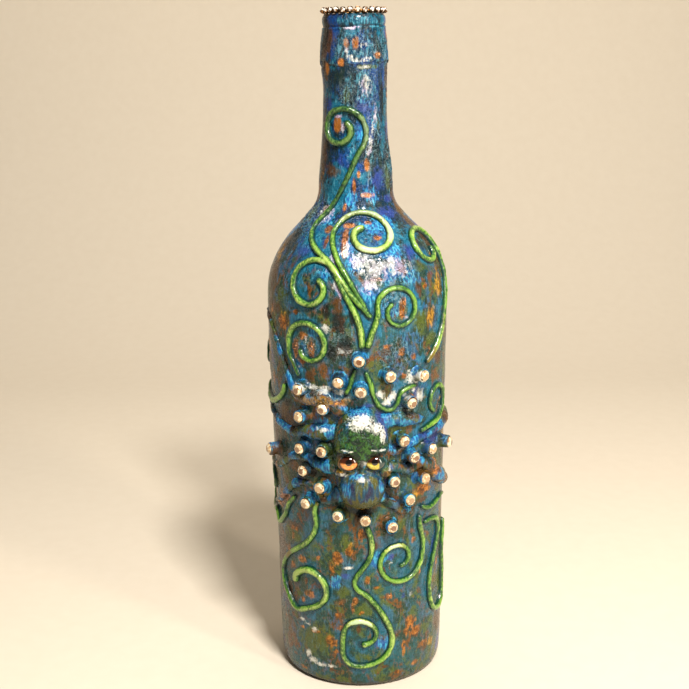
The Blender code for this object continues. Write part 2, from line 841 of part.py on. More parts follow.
def clay_chart():
    """Heights up the clay against the sheet that unrolls it: a step up the side over its radius there."""
    heights, radii = np.array(CLAY_OUTSIDE).T
    fine = np.linspace(heights[0], heights[-1], CHART_ROWS)
    girth = np.interp(fine, heights, radii)
    steps = np.hypot(np.diff(fine), np.diff(girth)) / ((girth[1:] + girth[:-1]) / 2)
    return fine, np.concatenate([[0], np.cumsum(steps)])


CHART_HEIGHTS, CHART_CLIMB = clay_chart()
CLAY_HEIGHTS, CLAY_RADII = np.array(CLAY_OUTSIDE).T
CLAY_SLOPES = row_slopes(CLAY_OUTSIDE)
SHEET_RADIUS = SHOULDER_RADIUS + SEAT_GAP + BODY_CLAY


def girth_radius(height):
    return float(np.interp(height, CLAY_HEIGHTS, CLAY_RADII))


def wrapped(point, lift):
    """A point of the flat sheet, wrapped onto the bottle: its rise off the sheet goes straight out."""
    turned = point.x / SHEET_RADIUS
    height = float(np.interp(point.y / SHEET_RADIUS, CHART_CLIMB, CHART_HEIGHTS))
    radius = girth_radius(height)
    slope = float(np.interp(height, CLAY_HEIGHTS, CLAY_SLOPES))
    side = Vector((math.sin(turned), -math.cos(turned), 0))
    out = (side - Vector((0, 0, slope))).normalized()
    on_clay = side * radius + Vector((0, 0, height))
    return on_clay + out * (lift + point.z * radius / SHEET_RADIUS)


def sheet_knots(shares):
    """Sheet places of hand-placed points, as (across, up, thickness)."""
    knots = []
    for degrees, share, thickness in shares:
        climb = np.interp(share * GLASS_HEIGHT, CHART_HEIGHTS, CHART_CLIMB)
        knots.append(np.array((math.radians(degrees), climb, thickness)))
    return knots


def curl_knots(degrees, share, first, last, bearing, sweep, lateness, thick, thin):
    """Sheet places along a curl, whose radius falls from the first to the last as it turns."""
    middle = sheet_knots([(degrees, share, 0)])[0]
    turns = max(2, round(abs(sweep) / CURL_STEP_DEGREES))
    knots = []
    for turn_count in range(turns + 1):
        along = turn_count / turns
        radius = math.radians(first + (last - first) * along**lateness)
        angle = math.radians(bearing + sweep * along)
        place = (radius * math.cos(angle), radius * math.sin(angle), thick + (thin - thick) * along)
        knots.append(middle + np.array(place))
    return knots


def through(knots):
    """A smooth curve through the knots, cut finer where they lie far apart."""
    longest = math.radians(STEM_STEP_DEGREES)
    ends = [2 * knots[0] - knots[1], *knots, 2 * knots[-1] - knots[-2]]
    points = []
    for before, start, end, after in zip(ends, ends[1:], ends[2:], ends[3:]):
        spans = [math.dist(p[:2], q[:2]) ** 0.5 for p, q in ((before, start), (start, end), (end, after))]
        t0, t1, t2, t3 = 0, spans[0], spans[0] + spans[1], sum(spans)
        cuts = math.ceil(spans[1] ** 2 / longest)
        for t in np.linspace(t1, t2, cuts, endpoint=False):
            a = (t1 - t) / (t1 - t0) * before + (t - t0) / (t1 - t0) * start
            b = (t2 - t) / (t2 - t1) * start + (t - t1) / (t2 - t1) * end
            c = (t3 - t) / (t3 - t2) * end + (t - t2) / (t3 - t2) * after
            low = (t2 - t) / (t2 - t0) * a + (t - t0) / (t2 - t0) * b
            high = (t3 - t) / (t3 - t1) * b + (t - t1) / (t3 - t1) * c
            points.append((t2 - t) / (t2 - t1) * low + (t - t1) / (t2 - t1) * high)
    points.append(knots[-1])
    return points


def section(name, width, height):
    """The half-round section of a rolled strip, as a guide curve."""
    curve = bpy.data.curves.new(name, "CURVE")
    curve.dimensions = "2D"
    spline = curve.splines.new("POLY")
    spline.points.add(len(SECTION_SHARES) - 1)
    for point, (across, up) in zip(spline.points, SECTION_SHARES):
        point.co = (across * width, up * height, 0, 1)
    spline.use_cyclic_u = True
    guide = bpy.data.objects.new(name, curve)
    CUTTERS.objects.link(guide)
    guide.hide_render = True
    guide.display_type = "WIRE"
    return guide


def strip_mesh(name, knots, guide, lift):
    """A strip drawn flat on the sheet with rounded ends, made a mesh and wrapped onto the clay."""
    points = through(knots)
    lead = points[0] - points[1]
    trail = points[-1] - points[-2]
    tip = math.radians(TIP_DEGREES)
    for end, away in ((points[0], lead), (points[-1], trail)):
        past = end + away / math.hypot(*away[:2]) * tip * end[2]
        past[2] = end[2] * TIP_SHARE
        if end is points[0]:
            points.insert(0, past)
        else:
            points.append(past)
    curve = bpy.data.curves.new(name, "CURVE")
    curve.dimensions = "3D"
    curve.twist_mode = "Z_UP"
    curve.bevel_mode = "OBJECT"
    curve.bevel_object = guide
    curve.use_fill_caps = True
    spline = curve.splines.new("POLY")
    spline.points.add(len(points) - 1)
    for point, (across, up, thickness) in zip(spline.points, points):
        height = float(np.interp(up, CHART_CLIMB, CHART_HEIGHTS))
        point.co = (across * SHEET_RADIUS, up * SHEET_RADIUS, 0, 1)
        point.radius = thickness * SHEET_RADIUS / girth_radius(height)
    flat = bpy.data.objects.new(name, curve)
    CUTTERS.objects.link(flat)
    mesh = evaluated_mesh(flat)
    bpy.data.objects.remove(flat, do_unlink=True)
    for vert in mesh.vertices:
        vert.co = wrapped(vert.co, lift)
    mesh.name = name
    return mesh


def clear_of(part, head_clearances, stud_clearances):
    """Cuts a strip back from the head and from the posts."""
    for clearance in (*head_clearances, stud_clearances):
        boolean(part, clearance, "DIFFERENCE", "MANIFOLD")


def make_arms(head_clearances, stud_clearances):
    """Eight tapering arms, tucked up to the skirt and notched round the posts."""
    guide = section("arm_section", ARM_WIDTH, ARM_HEIGHT)
    finish = material("painted_arm", (0.10, 0.20, 0.30), 0.30)
    for name, shares in ARM_SHARES.items():
        mesh = strip_mesh(name, sheet_knots(shares), guide, SEAT_GAP)
        clear_of(add_part(name, mesh, finish), head_clearances, stud_clearances)


def make_tendrils(head_clearances, stud_clearances):
    """The scrolls: the shoulder's spray is one piece of four strips, the others are single strips."""
    guide = section("tendril_section", TENDRIL_WIDTH, TENDRIL_HEIGHT)
    finish = material("lime_clay", (0.35, 0.55, 0.12), 0.35)
    knots = {name: sheet_knots(stem) + curl_knots(*curl) for name, (stem, curl) in CURL_SHARES.items()}
    knots.update({name: sheet_knots(stroke) for name, stroke in STROKE_SHARES.items()})
    main, *others = SPRAY
    lift = SEAT_GAP
    spray = add_part("shoulder_spray", strip_mesh(main, knots.pop(main), guide, lift), finish)
    for name in others:
        lift += SPRAY_STEP
        strand = add_cutter(name, strip_mesh(name, knots.pop(name), guide, lift))
        boolean(spray, strand, "UNION")
    clear_of(spray, head_clearances, stud_clearances)
    for name, route in knots.items():
        tendril = add_part(name, strip_mesh(name, route, guide, SEAT_GAP), finish)
        clear_of(tendril, head_clearances, stud_clearances)


make_glass()
make_clay()
make_rim_chain()
make_stones()
STUD_CLEARANCES = make_stud_clearances()
make_head(make_seat(), STUD_CLEARANCES)
HEAD_CLEARANCES = make_head_clearances()
make_arms(HEAD_CLEARANCES, STUD_CLEARANCES)
make_tendrils(HEAD_CLEARANCES, STUD_CLEARANCES)
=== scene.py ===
import math
import random

import bmesh
import bpy
import numpy as np
from mathutils import Matrix, Vector, kdtree, noise


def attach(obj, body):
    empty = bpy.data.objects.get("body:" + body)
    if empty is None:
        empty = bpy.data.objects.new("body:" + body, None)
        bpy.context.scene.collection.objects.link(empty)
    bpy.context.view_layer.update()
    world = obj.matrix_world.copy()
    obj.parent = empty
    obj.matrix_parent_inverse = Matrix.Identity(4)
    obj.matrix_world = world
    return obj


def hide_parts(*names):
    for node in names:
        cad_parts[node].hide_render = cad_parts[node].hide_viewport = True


# Lengths are in millimetres until a piece is placed. Round the bottle, places are degrees from the
# front, positive to the right, and heights above the floor.
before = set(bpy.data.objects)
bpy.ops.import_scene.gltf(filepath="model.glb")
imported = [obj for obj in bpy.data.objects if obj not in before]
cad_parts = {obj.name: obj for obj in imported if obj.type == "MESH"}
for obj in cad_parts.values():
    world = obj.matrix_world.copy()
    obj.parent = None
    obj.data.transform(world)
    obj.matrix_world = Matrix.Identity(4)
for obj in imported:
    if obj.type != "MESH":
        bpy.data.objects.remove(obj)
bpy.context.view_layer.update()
MM = 0.001

# The camera stands half a metre in front, at the height of the collar, and looks down at the body.
CAMERA_PLACE = (-6.0, -525.4, 284.75)
CAMERA_PITCH = 14.016
CAMERA_ROLL = -0.835
CAMERA_LENS = 61.5
CAMERA_SENSOR = 36

camera_data = bpy.data.cameras.new("camera")
camera_data.lens = CAMERA_LENS
camera_data.sensor_width = CAMERA_SENSOR
camera = bpy.data.objects.new("camera", camera_data)
bpy.context.scene.collection.objects.link(camera)
tilted = Matrix.Rotation(math.radians(90 - CAMERA_PITCH), 4, "X")
rolled_over = Matrix.Rotation(math.radians(CAMERA_ROLL), 4, "Z")
camera.matrix_world = Matrix.Translation(Vector(CAMERA_PLACE) * MM) @ tilted @ rolled_over
bpy.context.scene.camera = camera
bpy.context.scene.view_settings.view_transform = "Standard"


# The bottle stands on a plain pale sheet that sweeps up behind it, under soft studio lights: a wide one
# overhead in front, a tall one on the right, and one on the backdrop.
PAPER_HALF_WIDTH = 1800
PAPER_FRONT = -1500
PAPER_BACK = 900
PAPER_HEIGHT = 1900
SWEEP_RADIUS = 420
SWEEP_CUTS = 16
PAPER_COLOUR = (222, 212, 196)
FIBRE_COLOUR = (217, 206, 189)
ROOM_COLOUR = (255, 246, 232)
ROOM_LIGHT = 0.13
FIBRE_SIZE = 9


def paint(red, green, blue):
    """A colour as it looks on a screen, as the shader's linear one."""
    shares = [part / 255 for part in (red, green, blue)]
    return (*[part / 12.92 if part <= 0.04045 else ((part + 0.055) / 1.055) ** 2.4 for part in shares], 1)


class Tone:
    """A socket of a finish: an expression on its value adds Math nodes."""

    def __init__(self, finish, socket):
        self.finish = finish
        self.socket = socket

    def math(self, operation, *values):
        """The result of a Math node."""
        return self.finish.node("ShaderNodeMath", {"operation": operation}, dict(enumerate(values)))

    def __add__(self, other):
        return self.math("ADD", self, other)

    def __radd__(self, other):
        return self.math("ADD", other, self)

    def __sub__(self, other):
        return self.math("SUBTRACT", self, other)

    def __rsub__(self, other):
        return self.math("SUBTRACT", other, self)

    def __mul__(self, other):
        return self.math("MULTIPLY", self, other)

    def __rmul__(self, other):
        return self.math("MULTIPLY", other, self)

    def within(self, low, high):
        """A soft step: 0 below the low value, 1 above the high one."""
        limits = {"Value": self, "From Min": low, "From Max": high}
        return self.finish.node("ShaderNodeMapRange", {"interpolation_type": "SMOOTHSTEP"}, limits)


class Finish:
    """A material: its shader's fixed values, and one method for every other node."""

    def __init__(self, name, fixed):
        self.material = bpy.data.materials.new(name)
        self.material.use_nodes = True
        self.tree = self.material.node_tree
        self.shader = self.tree.nodes["Principled BSDF"]
        self.feed(fixed)
        place = self.node("ShaderNodeTexCoord", {}, {}, "Object")
        self.place = self.vector("MULTIPLY", place, (1 / MM,) * 3)

    def join(self, socket, value):
        """Links a varying value to a socket, or sets a fixed one."""
        if isinstance(value, Tone):
            self.tree.links.new(value.socket, socket)
        else:
            socket.default_value = value

    def node(self, kind, settings, sockets, output=0):
        """Adds a node, with its settings and inputs, and gives one of its outputs."""
        made = self.tree.nodes.new(kind)
        for name, value in settings.items():
            setattr(made, name, value)
        for name, value in sockets.items():
            self.join(made.inputs[name], value)
        return Tone(self, made.outputs[output])

    def vector(self, operation, first, second):
        return self.node("ShaderNodeVectorMath", {"operation": operation}, {0: first, 1: second})

    def mix(self, share, low, high):
        """The first colour where the share is 0, the second where it is 1."""
        return self.node("ShaderNodeMix", {"data_type": "RGBA"}, {0: share, 6: low, 7: high}, 2)

    def grain(self, size, stretch=(1, 1, 1), detail=3, distortion=0.0):
        """Noise from 0 to 1 with marks of about a size, longer where the stretch is more."""
        spread = tuple(1 / (size * part) for part in stretch)
        at = {"Vector": self.vector("MULTIPLY", self.place, spread), "Scale": 1, "Detail": detail}
        return self.node("ShaderNodeTexNoise", {}, {**at, "Distortion": distortion})

    def brushed(self, name):
        """A value painted on the mesh."""
        return self.node("ShaderNodeAttribute", {"attribute_name": name}, {}, "Fac")

    def height(self):
        """How high above the floor, in millimetres."""
        return self.node("ShaderNodeSeparateXYZ", {}, {"Vector": self.place}, "Z")

    def bump(self, rise, depth, strength):
        """A relief of the given depth in millimetres."""
        sockets = {"Height": rise, "Distance": depth * MM, "Strength": strength}
        return self.node("ShaderNodeBump", {}, sockets)

    def feed(self, sockets):
        """Sets or links the shader's own sockets."""
        for name, value in sockets.items():
            self.join(self.shader.inputs[name], value)


def mesh_object(name, bm, finishes, sharp=None):
    """Scales a finished bmesh to metres and puts it in the scene, shaded smooth below a sharp angle."""
    bmesh.ops.scale(bm, vec=(MM, MM, MM), verts=bm.verts)
    mesh = bpy.data.meshes.new(name)
    bm.to_mesh(mesh)
    bm.free()
    for finish in finishes:
        mesh.materials.append(finish.material)
    mesh.shade_smooth()
    if sharp is not None:
        mesh.set_sharp_from_angle(angle=math.radians(sharp))
    made = bpy.data.objects.new(name, mesh)
    bpy.context.scene.collection.objects.link(made)
    return made


def glossy(name, roughness, ior, coat_roughness):
    """A finish with a hard polish."""
    coat = {"Coat Weight": 1.0, "Coat Roughness": coat_roughness}
    return Finish(name, {"Roughness": roughness, "IOR": ior, **coat})


paper = Finish("pale_sheet", {"Roughness": 0.85, "Specular IOR Level": 0.2})
fibre = paper.grain(FIBRE_SIZE, detail=5)
paper.feed({"Base Color": paper.mix(fibre, paint(*PAPER_COLOUR), paint(*FIBRE_COLOUR))})

bm = bmesh.new()
bmesh.ops.create_grid(bm, x_segments=1, y_segments=1, size=1)
bmesh.ops.scale(bm, vec=(PAPER_HALF_WIDTH, (PAPER_BACK - PAPER_FRONT) / 2, 1), verts=bm.verts)
bmesh.ops.translate(bm, vec=(0, (PAPER_BACK + PAPER_FRONT) / 2, 0), verts=bm.verts)
back_edge = max(bm.edges, key=lambda edge: edge.verts[0].co.y + edge.verts[1].co.y)
wall = bmesh.ops.extrude_edge_only(bm, edges=[back_edge])["geom"]
wall_verts = [part for part in wall if isinstance(part, bmesh.types.BMVert)]
bmesh.ops.translate(bm, vec=(0, 0, PAPER_HEIGHT), verts=wall_verts)
bmesh.ops.bevel(
    bm,
    geom=[back_edge],
    offset=SWEEP_RADIUS,
    affect="EDGES",
    segments=SWEEP_CUTS,
    profile=0.5,
    material=-1,
)
bmesh.ops.recalc_face_normals(bm, faces=bm.faces)
mesh_object("pale_sheet", bm, [paper])

room = bpy.data.worlds.new("room")
room.use_nodes = True
room.node_tree.nodes["Background"].inputs["Color"].default_value = paint(*ROOM_COLOUR)
room.node_tree.nodes["Background"].inputs["Strength"].default_value = ROOM_LIGHT
bpy.context.scene.world = room

# Each light: its place, what it aims at, its width and height, watts and colour
STUDIO_LIGHTS = {
    "overhead_front": ((200, -560, 850), (0, 0, 170), 160, 120, 15.0, (255, 250, 242)),
    "tall_right": ((470, -470, 330), (0, 0, 180), 70, 520, 2.6, (255, 242, 222)),
    "backdrop": ((0, 250, 1300), (0, 800, 300), 900, 300, 4.6, (255, 246, 230)),
}
for name, (place, aim, width, height, watts, colour) in STUDIO_LIGHTS.items():
    lamp = bpy.data.lights.new(name, "AREA")
    lamp.shape = "RECTANGLE"
    lamp.size = width * MM
    lamp.size_y = height * MM
    lamp.energy = watts
    lamp.color = paint(*colour)[:3]
    light = bpy.data.objects.new(name, lamp)
    aimed = (Vector(place) - Vector(aim)).to_track_quat("Z", "Y").to_matrix().to_4x4()
    light.matrix_world = Matrix.Translation(Vector(place) * MM) @ aimed
    bpy.context.scene.collection.objects.link(light)


# The bottle itself is a straight-sided green wine bottle of blown glass. Only its lip and bore show in
# the mouth, and its foot ring under the clay, but it is whole: a wall all round, a punt and a bore.
GLASS_WALL = 3.2
# The outside of the clay over the glass: height and radius, then how thick the clay is at four heights
CLAY_ROWS = (
    (1, 36.1), (1.47, 37), (4.56, 37.8), (60, 38.7), (120, 39.7), (176, 40.6), (184.9, 39.9),
    (191.7, 38.2), (197.3, 35.75), (202.3, 32.6), (206.7, 29.1), (211, 24.8), (214.7, 21.4),
    (218.7, 18.2), (223.2, 16.7), (230.1, 16.2), (240.1, 15.3), (250, 14.4), (261.2, 13.9), (271.5, 13.8),
    (276, 14.15), (282.9, 14.5), (290.1, 14.1), (294.6, 13.5), (296.6, 13.8), (298.8, 13.5), (300, 12.7),
)
CLAY_THICKNESS = ((1, 176, 230, 300), (2.0, 2.0, 1.1, 1.1))
# The heel, foot ring and punt, then the floor inside, the bore and the lip
FOOT_ROWS = (
    (4.8, 35.8), (2.6, 35.2), (0.9, 33.8), (0.0, 31.8), (0.0, 26.8), (5.5, 23.0), (10.0, 14.0), (12.0, 0),
)
FLOOR_ROWS = ((17.0, 0), (15.0, 14.0), (10.5, 24.0), (8.0, 29.3), (12.0, 33.0))
BORE_ROWS = ((232, 11.0), (245, 9.5), (299.3, 9.3), (300, 9.9))
LIP_ROWS = ((300, 11.6), (299.2, 12.2))
GLASS_STEPS = 96
WELD = 0.0005
SEED_SIZE = 2.2
SEED_DEPTH = 0.05
TINT_SIZE = 30


def on_line(time, low_time, low, high_time, high):
    """Where a point is at a time, on the straight run from one place to another."""
    span = high_time - low_time
    return (high_time - time) / span * low + (time - low_time) / span * high


def through(knots, step):
    """Points about a step apart on a smooth curve through rows of numbers, spaced by their first two."""
    knots = [np.array(knot, float) for knot in knots]
    ends = [2 * knots[0] - knots[1], *knots, 2 * knots[-1] - knots[-2]]
    points = []
    for four in zip(ends, ends[1:], ends[2:], ends[3:]):
        spans = [math.dist(knot[:2], after[:2]) ** 0.5 for knot, after in zip(four, four[1:])]
        times = [0, spans[0], spans[0] + spans[1], sum(spans)]
        count = math.ceil(spans[1] ** 2 / step)
        for time in np.linspace(times[1], times[2], count, endpoint=False):
            lines = [on_line(time, times[at], four[at], times[at + 1], four[at + 1]) for at in range(3)]
            arcs = [on_line(time, times[at], lines[at], times[at + 2], lines[at + 1]) for at in range(2)]
            points.append(on_line(time, times[1], arcs[0], times[2], arcs[1]))
    points.append(knots[-1])
    return np.array(points)


def turned(rows, steps, closed):
    """A bmesh of (height, radius) rows spun round the Z axis, welded, with its faces out."""
    bm = bmesh.new()
    verts = [bm.verts.new((radius, 0, height)) for height, radius in rows]
    pairs = list(zip(verts, verts[1:]))
    if closed:
        pairs.append((verts[-1], verts[0]))
    edges = [bm.edges.new(pair) for pair in pairs]
    centre = {"cent": (0, 0, 0), "axis": (0, 0, 1), "angle": math.tau}
    bmesh.ops.spin(bm, geom=[*verts, *edges], steps=steps, use_merge=True, **centre)
    bmesh.ops.remove_doubles(bm, verts=bm.verts, dist=WELD)
    bmesh.ops.recalc_face_normals(bm, faces=bm.faces)
    return bm


def part_of_bottle(piece, slot, *nodes):
    """Joins a finished piece to the bottle and hides the parts it stands for; the slot is not used."""
    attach(piece, "root")
    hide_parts(*nodes)
    return piece


BODY_STEP = 1.15
NECK_STEP = 0.66
NECK_FROM = 200
body_side = through(CLAY_ROWS, BODY_STEP)
neck_side = through(CLAY_ROWS, NECK_STEP)
CLAY_SIDE = np.vstack([body_side[body_side[:, 0] < NECK_FROM], neck_side[neck_side[:, 0] >= NECK_FROM]])
CLAY_SLOPE = np.gradient(CLAY_SIDE[:, 1], CLAY_SIDE[:, 0])


def clay_radius(height):
    """The radius of the clay's turned outside at a height, or at an array of them."""
    return np.interp(height, CLAY_SIDE[:, 0], CLAY_SIDE[:, 1])


def glass_radius(height):
    """The radius of the glass under the clay."""
    return clay_radius(height) - np.interp(height, *CLAY_THICKNESS)


glass = glossy("green_bottle_glass", 0.04, 1.5, 0.03)
seeds = glass.grain(SEED_SIZE, detail=1).within(0.62, 0.7)
deep_green = glass.mix(glass.grain(TINT_SIZE), paint(20, 46, 26), paint(34, 66, 38))
glass.feed({"Base Color": deep_green, "Normal": glass.bump(seeds, SEED_DEPTH, 0.4)})

side_heights = [row[0] for row in CLAY_ROWS if FOOT_ROWS[0][0] < row[0] < LIP_ROWS[-1][0]]
inside_heights = [height for height in side_heights if FLOOR_ROWS[-1][0] < height < BORE_ROWS[0][0]]
glass_rows = [
    *FLOOR_ROWS,
    *[(height, glass_radius(height) - GLASS_WALL) for height in inside_heights],
    *BORE_ROWS,
    *LIP_ROWS,
    *[(height, glass_radius(height)) for height in reversed(side_heights)],
    *FOOT_ROWS,
]
glass_piece = mesh_object("glass_wine_bottle", turned(glass_rows, GLASS_STEPS, False), [glass], sharp=50)
part_of_bottle(glass_piece, "bottle_glass", "glass_bottle")


# A skin of thin clay is pressed over the glass from the heel to the lip. It is smoothed with a brush on
# the body, wrapped in folds round the collar, and crumpled where sheets of it overlap.
SKIN_STEPS = 250
SKIN_INNER_STEP = 10
SKIN_GAP = 0.3
SKIN_LIP = (300, 12.5)
SKIN_EDGE_FADE = 4
OUTSIDE_SLACK = 0.3
LUMP_SIZE = 12.0
LUMP_RISE = 0.22
RIPPLE_SIZE = 2.6
RIPPLE_RISE = 0.10
CRUMPLE_SIZE = 1.7
CRUMPLE_RISE = 0.5
CRUMPLE_GAIN = 1.6
CREASE_STRETCH = 0.45
CREASE_GAIN = 2.4
FINE_CREASE_GAIN = 1.2
FINE_CREASE_SCALE = 2.1
CREASE_SHIFT = Vector((7, 3, 1))
FOLD_RISE = 0.45
FOLD_DIP = 0.45
FOLD_WIDTH = 1.6
FOLD_REACH = 5
FOLD_WANDER_SIZE = 9
# Crumpled places: bearing, height, half-width, half-height
CRUMPLES = (
    (20, 270, 10, 12), (38, 256, 5, 16), (26, 243, 5, 7), (0, 286, 12, 9), (50, 284, 12, 8),
    (-10, 266, 7, 10), (12, 195, 11, 8), (32, 193, 9, 7), (-14, 163, 12, 10), (24, 158, 12, 8),
    (30, 134, 9, 8), (-16, 139, 9, 5), (-34, 160, 9, 8), (22, 180, 8, 9), (-30, 140, 12, 5),
    (-66, 215, 14, 10), (70, 235, 9, 14), (110, 270, 14, 12), (-120, 282, 18, 10), (180, 200, 22, 12),
    (-95, 150, 16, 12), (100, 190, 14, 12), (150, 140, 20, 12), (-160, 110, 20, 14),
)
# Where one sheet of the skin ends on the next round the collar: height, how far its edge wanders, and
# how much higher the clay stands above it than below
FOLDS = ((280.0, 2.2, 1.0), (294.4, 0.8, -1.0), (287.5, 2.6, 0.35))


def covered(marks, bearings, heights):
    """How well oval marks cover places on the clay: 1 at the middle of a mark, 0 from its edge on."""
    cover = np.zeros(len(bearings))
    radii = clay_radius(heights)
    for bearing, height, wide, tall in marks:
        across = np.radians((bearings - bearing + 180) % 360 - 180) * radii / wide
        cover = np.maximum(cover, 1 - np.hypot(across, (heights - height) / tall))
    return cover


def places_of(points):
    """The bearing and height of each point, from its coordinates in millimetres."""
    return np.degrees(np.arctan2(points[:, 0], -points[:, 1])), points[:, 2]


def crumpled(bearings, heights):
    """How crumpled the clay is at each place, from 0 to 1."""
    return np.clip(CRUMPLE_GAIN * covered(CRUMPLES, bearings, heights), 0, 1)


def pressed(points):
    """How far the hand-worked clay stands off its turned side at each point."""
    rises = []
    for point, share in zip(points, crumpled(*places_of(points))):
        at = Vector(point)
        long = Vector((at.x, at.y, at.z * CREASE_STRETCH))
        rise = LUMP_RISE * noise.noise(at / LUMP_SIZE) + RIPPLE_RISE * noise.noise(long / RIPPLE_SIZE)
        creases = 1 - CREASE_GAIN * abs(noise.noise(long / CRUMPLE_SIZE + CREASE_SHIFT))
        creases += 0.5 - FINE_CREASE_GAIN * abs(noise.noise(at / CRUMPLE_SIZE * FINE_CREASE_SCALE))
        rise += CRUMPLE_RISE * share * (creases - 0.5)
        rise += RIPPLE_RISE * (creases - 0.5) * 0.5
        for fold_height, wander, side in FOLDS:
            edge = fold_height + wander * noise.noise(Vector((at.x, at.y, fold_height)) / FOLD_WANDER_SIZE)
            step = (at.z - edge) * side
            if abs(at.z - edge) < FOLD_REACH:
                fall = math.exp(-abs(step) / FOLD_WIDTH)
                rise += FOLD_RISE * abs(side) * fall * (1 if step > 0 else -FOLD_DIP)
        rises.append(rise)
    return np.array(rises)


def straight_out(bearings, heights):
    """The clay's outward direction at each place, as rows."""
    slopes = np.interp(heights, CLAY_SIDE[:, 0], CLAY_SLOPE)
    turns = np.radians(bearings)
    out = np.stack([np.sin(turns), -np.cos(turns), -slopes], axis=1)
    return out / np.linalg.norm(out, axis=1, keepdims=True)


inner_rows = [(height, glass_radius(height) + SKIN_GAP) for height in CLAY_SIDE[1::SKIN_INNER_STEP, 0]]
bm = turned([*CLAY_SIDE, SKIN_LIP, *reversed(inner_rows)], SKIN_STEPS, True)
outer = [vert for vert in bm.verts if math.hypot(*vert.co.xy) > clay_radius(vert.co.z) - OUTSIDE_SLACK]
points = np.array([vert.co for vert in outer])
heel, lip = CLAY_ROWS[0][0], CLAY_ROWS[-1][0]
ends = np.clip(np.minimum(points[:, 2] - heel, lip - points[:, 2]) / SKIN_EDGE_FADE, 0, 1)
moves = straight_out(*places_of(points)) * (pressed(points) * ends)[:, None]
for vert, move in zip(outer, moves):
    vert.co += Vector(move)
skin = mesh_object("clay_skin_worked", bm, [])
part_of_bottle(skin, "painted_clay", "clay_skin")


# Short posts of the same clay carry the stones: rolled, pressed on with a spread foot, and pushed in at
# the end for a stone. Six are close round the head and the rest stand out past the arms.
POST_STEPS = 28
POST_LUMP = 0.16
POST_LUMP_SIZE = 2.4
POST_DENT_SIZE = 1.1
POST_DENT_SHARE = 0.6
# Each stone's bearing and height
STUDS = (
    (0, 156.9), (-11.6, 147.9), (0.8, 143.4), (17.5, 149.4), (39.2, 147.9), (-36.3, 142.8),
    (-21.1, 135.6), (30.7, 136.8), (-36.6, 130.2), (26.1, 120), (-37, 115.8), (-22.4, 116.1),
    (33.1, 111.3), (47.1, 113.1), (-35, 105.3), (20.1, 101.4), (41.4, 100.2), (-24.1, 98.7),
    (-33.8, 90.6), (30.2, 91.5), (-13.3, 86.1), (2.6, 84.6), (18.8, 80.1), (-67, 109.5), (67, 111.9),
    (-113, 127.5), (-150, 105), (118, 105), (176, 126),
)
# A post's side, from its foot in the clay to the floor of its cup: height and radius
POST_ROWS = (
    (-1.2, 4.7), (-0.2, 4.3), (0.35, 3.75), (0.9, 3.25), (1.8, 3), (3.2, 2.92), (4.1, 2.98), (4.6, 2.9),
    (4.85, 2.7), (4.7, 2.5), (4.1, 2.4), (4, 0),
)


def stud_place(bearing, height):
    """A frame on the clay whose Z points straight out from the bottle's axis."""
    turn = Matrix.Rotation(math.radians(bearing), 4, "Z")
    onto_clay = Matrix.Translation((0, -float(clay_radius(height)), 0))
    out = onto_clay @ Matrix.Rotation(math.radians(90), 4, "X")
    return Matrix.Translation((0, 0, height)) @ turn @ out


def gathered(bm, other, matrix):
    """Adds a copy of another bmesh, moved by a matrix, and returns its vertices."""
    before = set(bm.verts)
    passing = bpy.data.meshes.new("passing")
    other.to_mesh(passing)
    bm.from_mesh(passing)
    bpy.data.meshes.remove(passing)
    added = [vert for vert in bm.verts if vert not in before]
    bmesh.ops.transform(bm, matrix=matrix, verts=added)
    return added


post = turned(POST_ROWS, POST_STEPS, False)
bm = bmesh.new()
for bearing, height in STUDS:
    for vert in gathered(bm, post, stud_place(bearing, height)):
        lump = noise.noise(vert.co / POST_LUMP_SIZE)
        lump += POST_DENT_SHARE * noise.noise(vert.co / POST_DENT_SIZE)
        side = vert.co - Vector((0, 0, vert.co.z))
        vert.co += side.normalized() * POST_LUMP * lump + Vector((0, 0, POST_LUMP * lump))
post.free()
bmesh.ops.recalc_face_normals(bm, faces=bm.faces)
posts = mesh_object("stone_posts", bm, [])
part_of_bottle(posts, "painted_clay", "clay_skin")


# The stones are flat-backed cut resin with foil behind them, cream with copper lights: a girdle, a ring of
# kites and stars, and a table. Each is pressed into the end of its post. Each facet is coloured with a
# painted glint: bright at random, dull brown at the table and on the sides as a painted reflection.
# Radius, foot, top and sides of the girdle; radius, height and sides of the kites and of the table
GIRDLE = (2.42, 4.15, 4.95, 16)
KITES = (2.0, 5.6, 8)
TABLE = (1.3, 6.1, 8)
FLAT_ANGLE = 0.01
STONE_SPIN = 45
STONE_LEAN = 5
TABLE_REACH = 0.5
SIDE_FACING = 0.3
# The dull facets' painted glint stays below the first value; the other facets' random glint is raised to
# the power
DULL_GLINT = 0.4
GLINT_POWER = 0.6
FOIL_SIZE = 0.9


def ring(bm, radius, height, count, turn=0.0):
    """A ring of loose points, for a hull to close over."""
    made = bmesh.ops.create_circle(bm, segments=count, radius=radius)["verts"]
    matrix = Matrix.Translation((0, 0, height)) @ Matrix.Rotation(math.radians(turn), 4, "Z")
    bmesh.ops.transform(bm, matrix=matrix, verts=made)
    return made


def brilliant():
    """One cut stone, closed over its rings of points."""
    bm = bmesh.new()
    radius, foot, top, count = GIRDLE
    ring(bm, radius, foot, count)
    ring(bm, radius, top, count)
    kite_radius, kite_height, kites = KITES
    ring(bm, kite_radius, kite_height, kites, 180 / kites)
    table_radius, table_height, sides = TABLE
    ring(bm, table_radius, table_height, sides)
    bmesh.ops.delete(bm, geom=bm.edges[:], context="EDGES_FACES")
    bmesh.ops.convex_hull(bm, input=bm.verts)
    flat = [edge for edge in bm.edges if edge.is_manifold and edge.calc_face_angle() < FLAT_ANGLE]
    bmesh.ops.dissolve_edges(bm, edges=flat, use_verts=False)
    bmesh.ops.recalc_face_normals(bm, faces=bm.faces)
    return bm


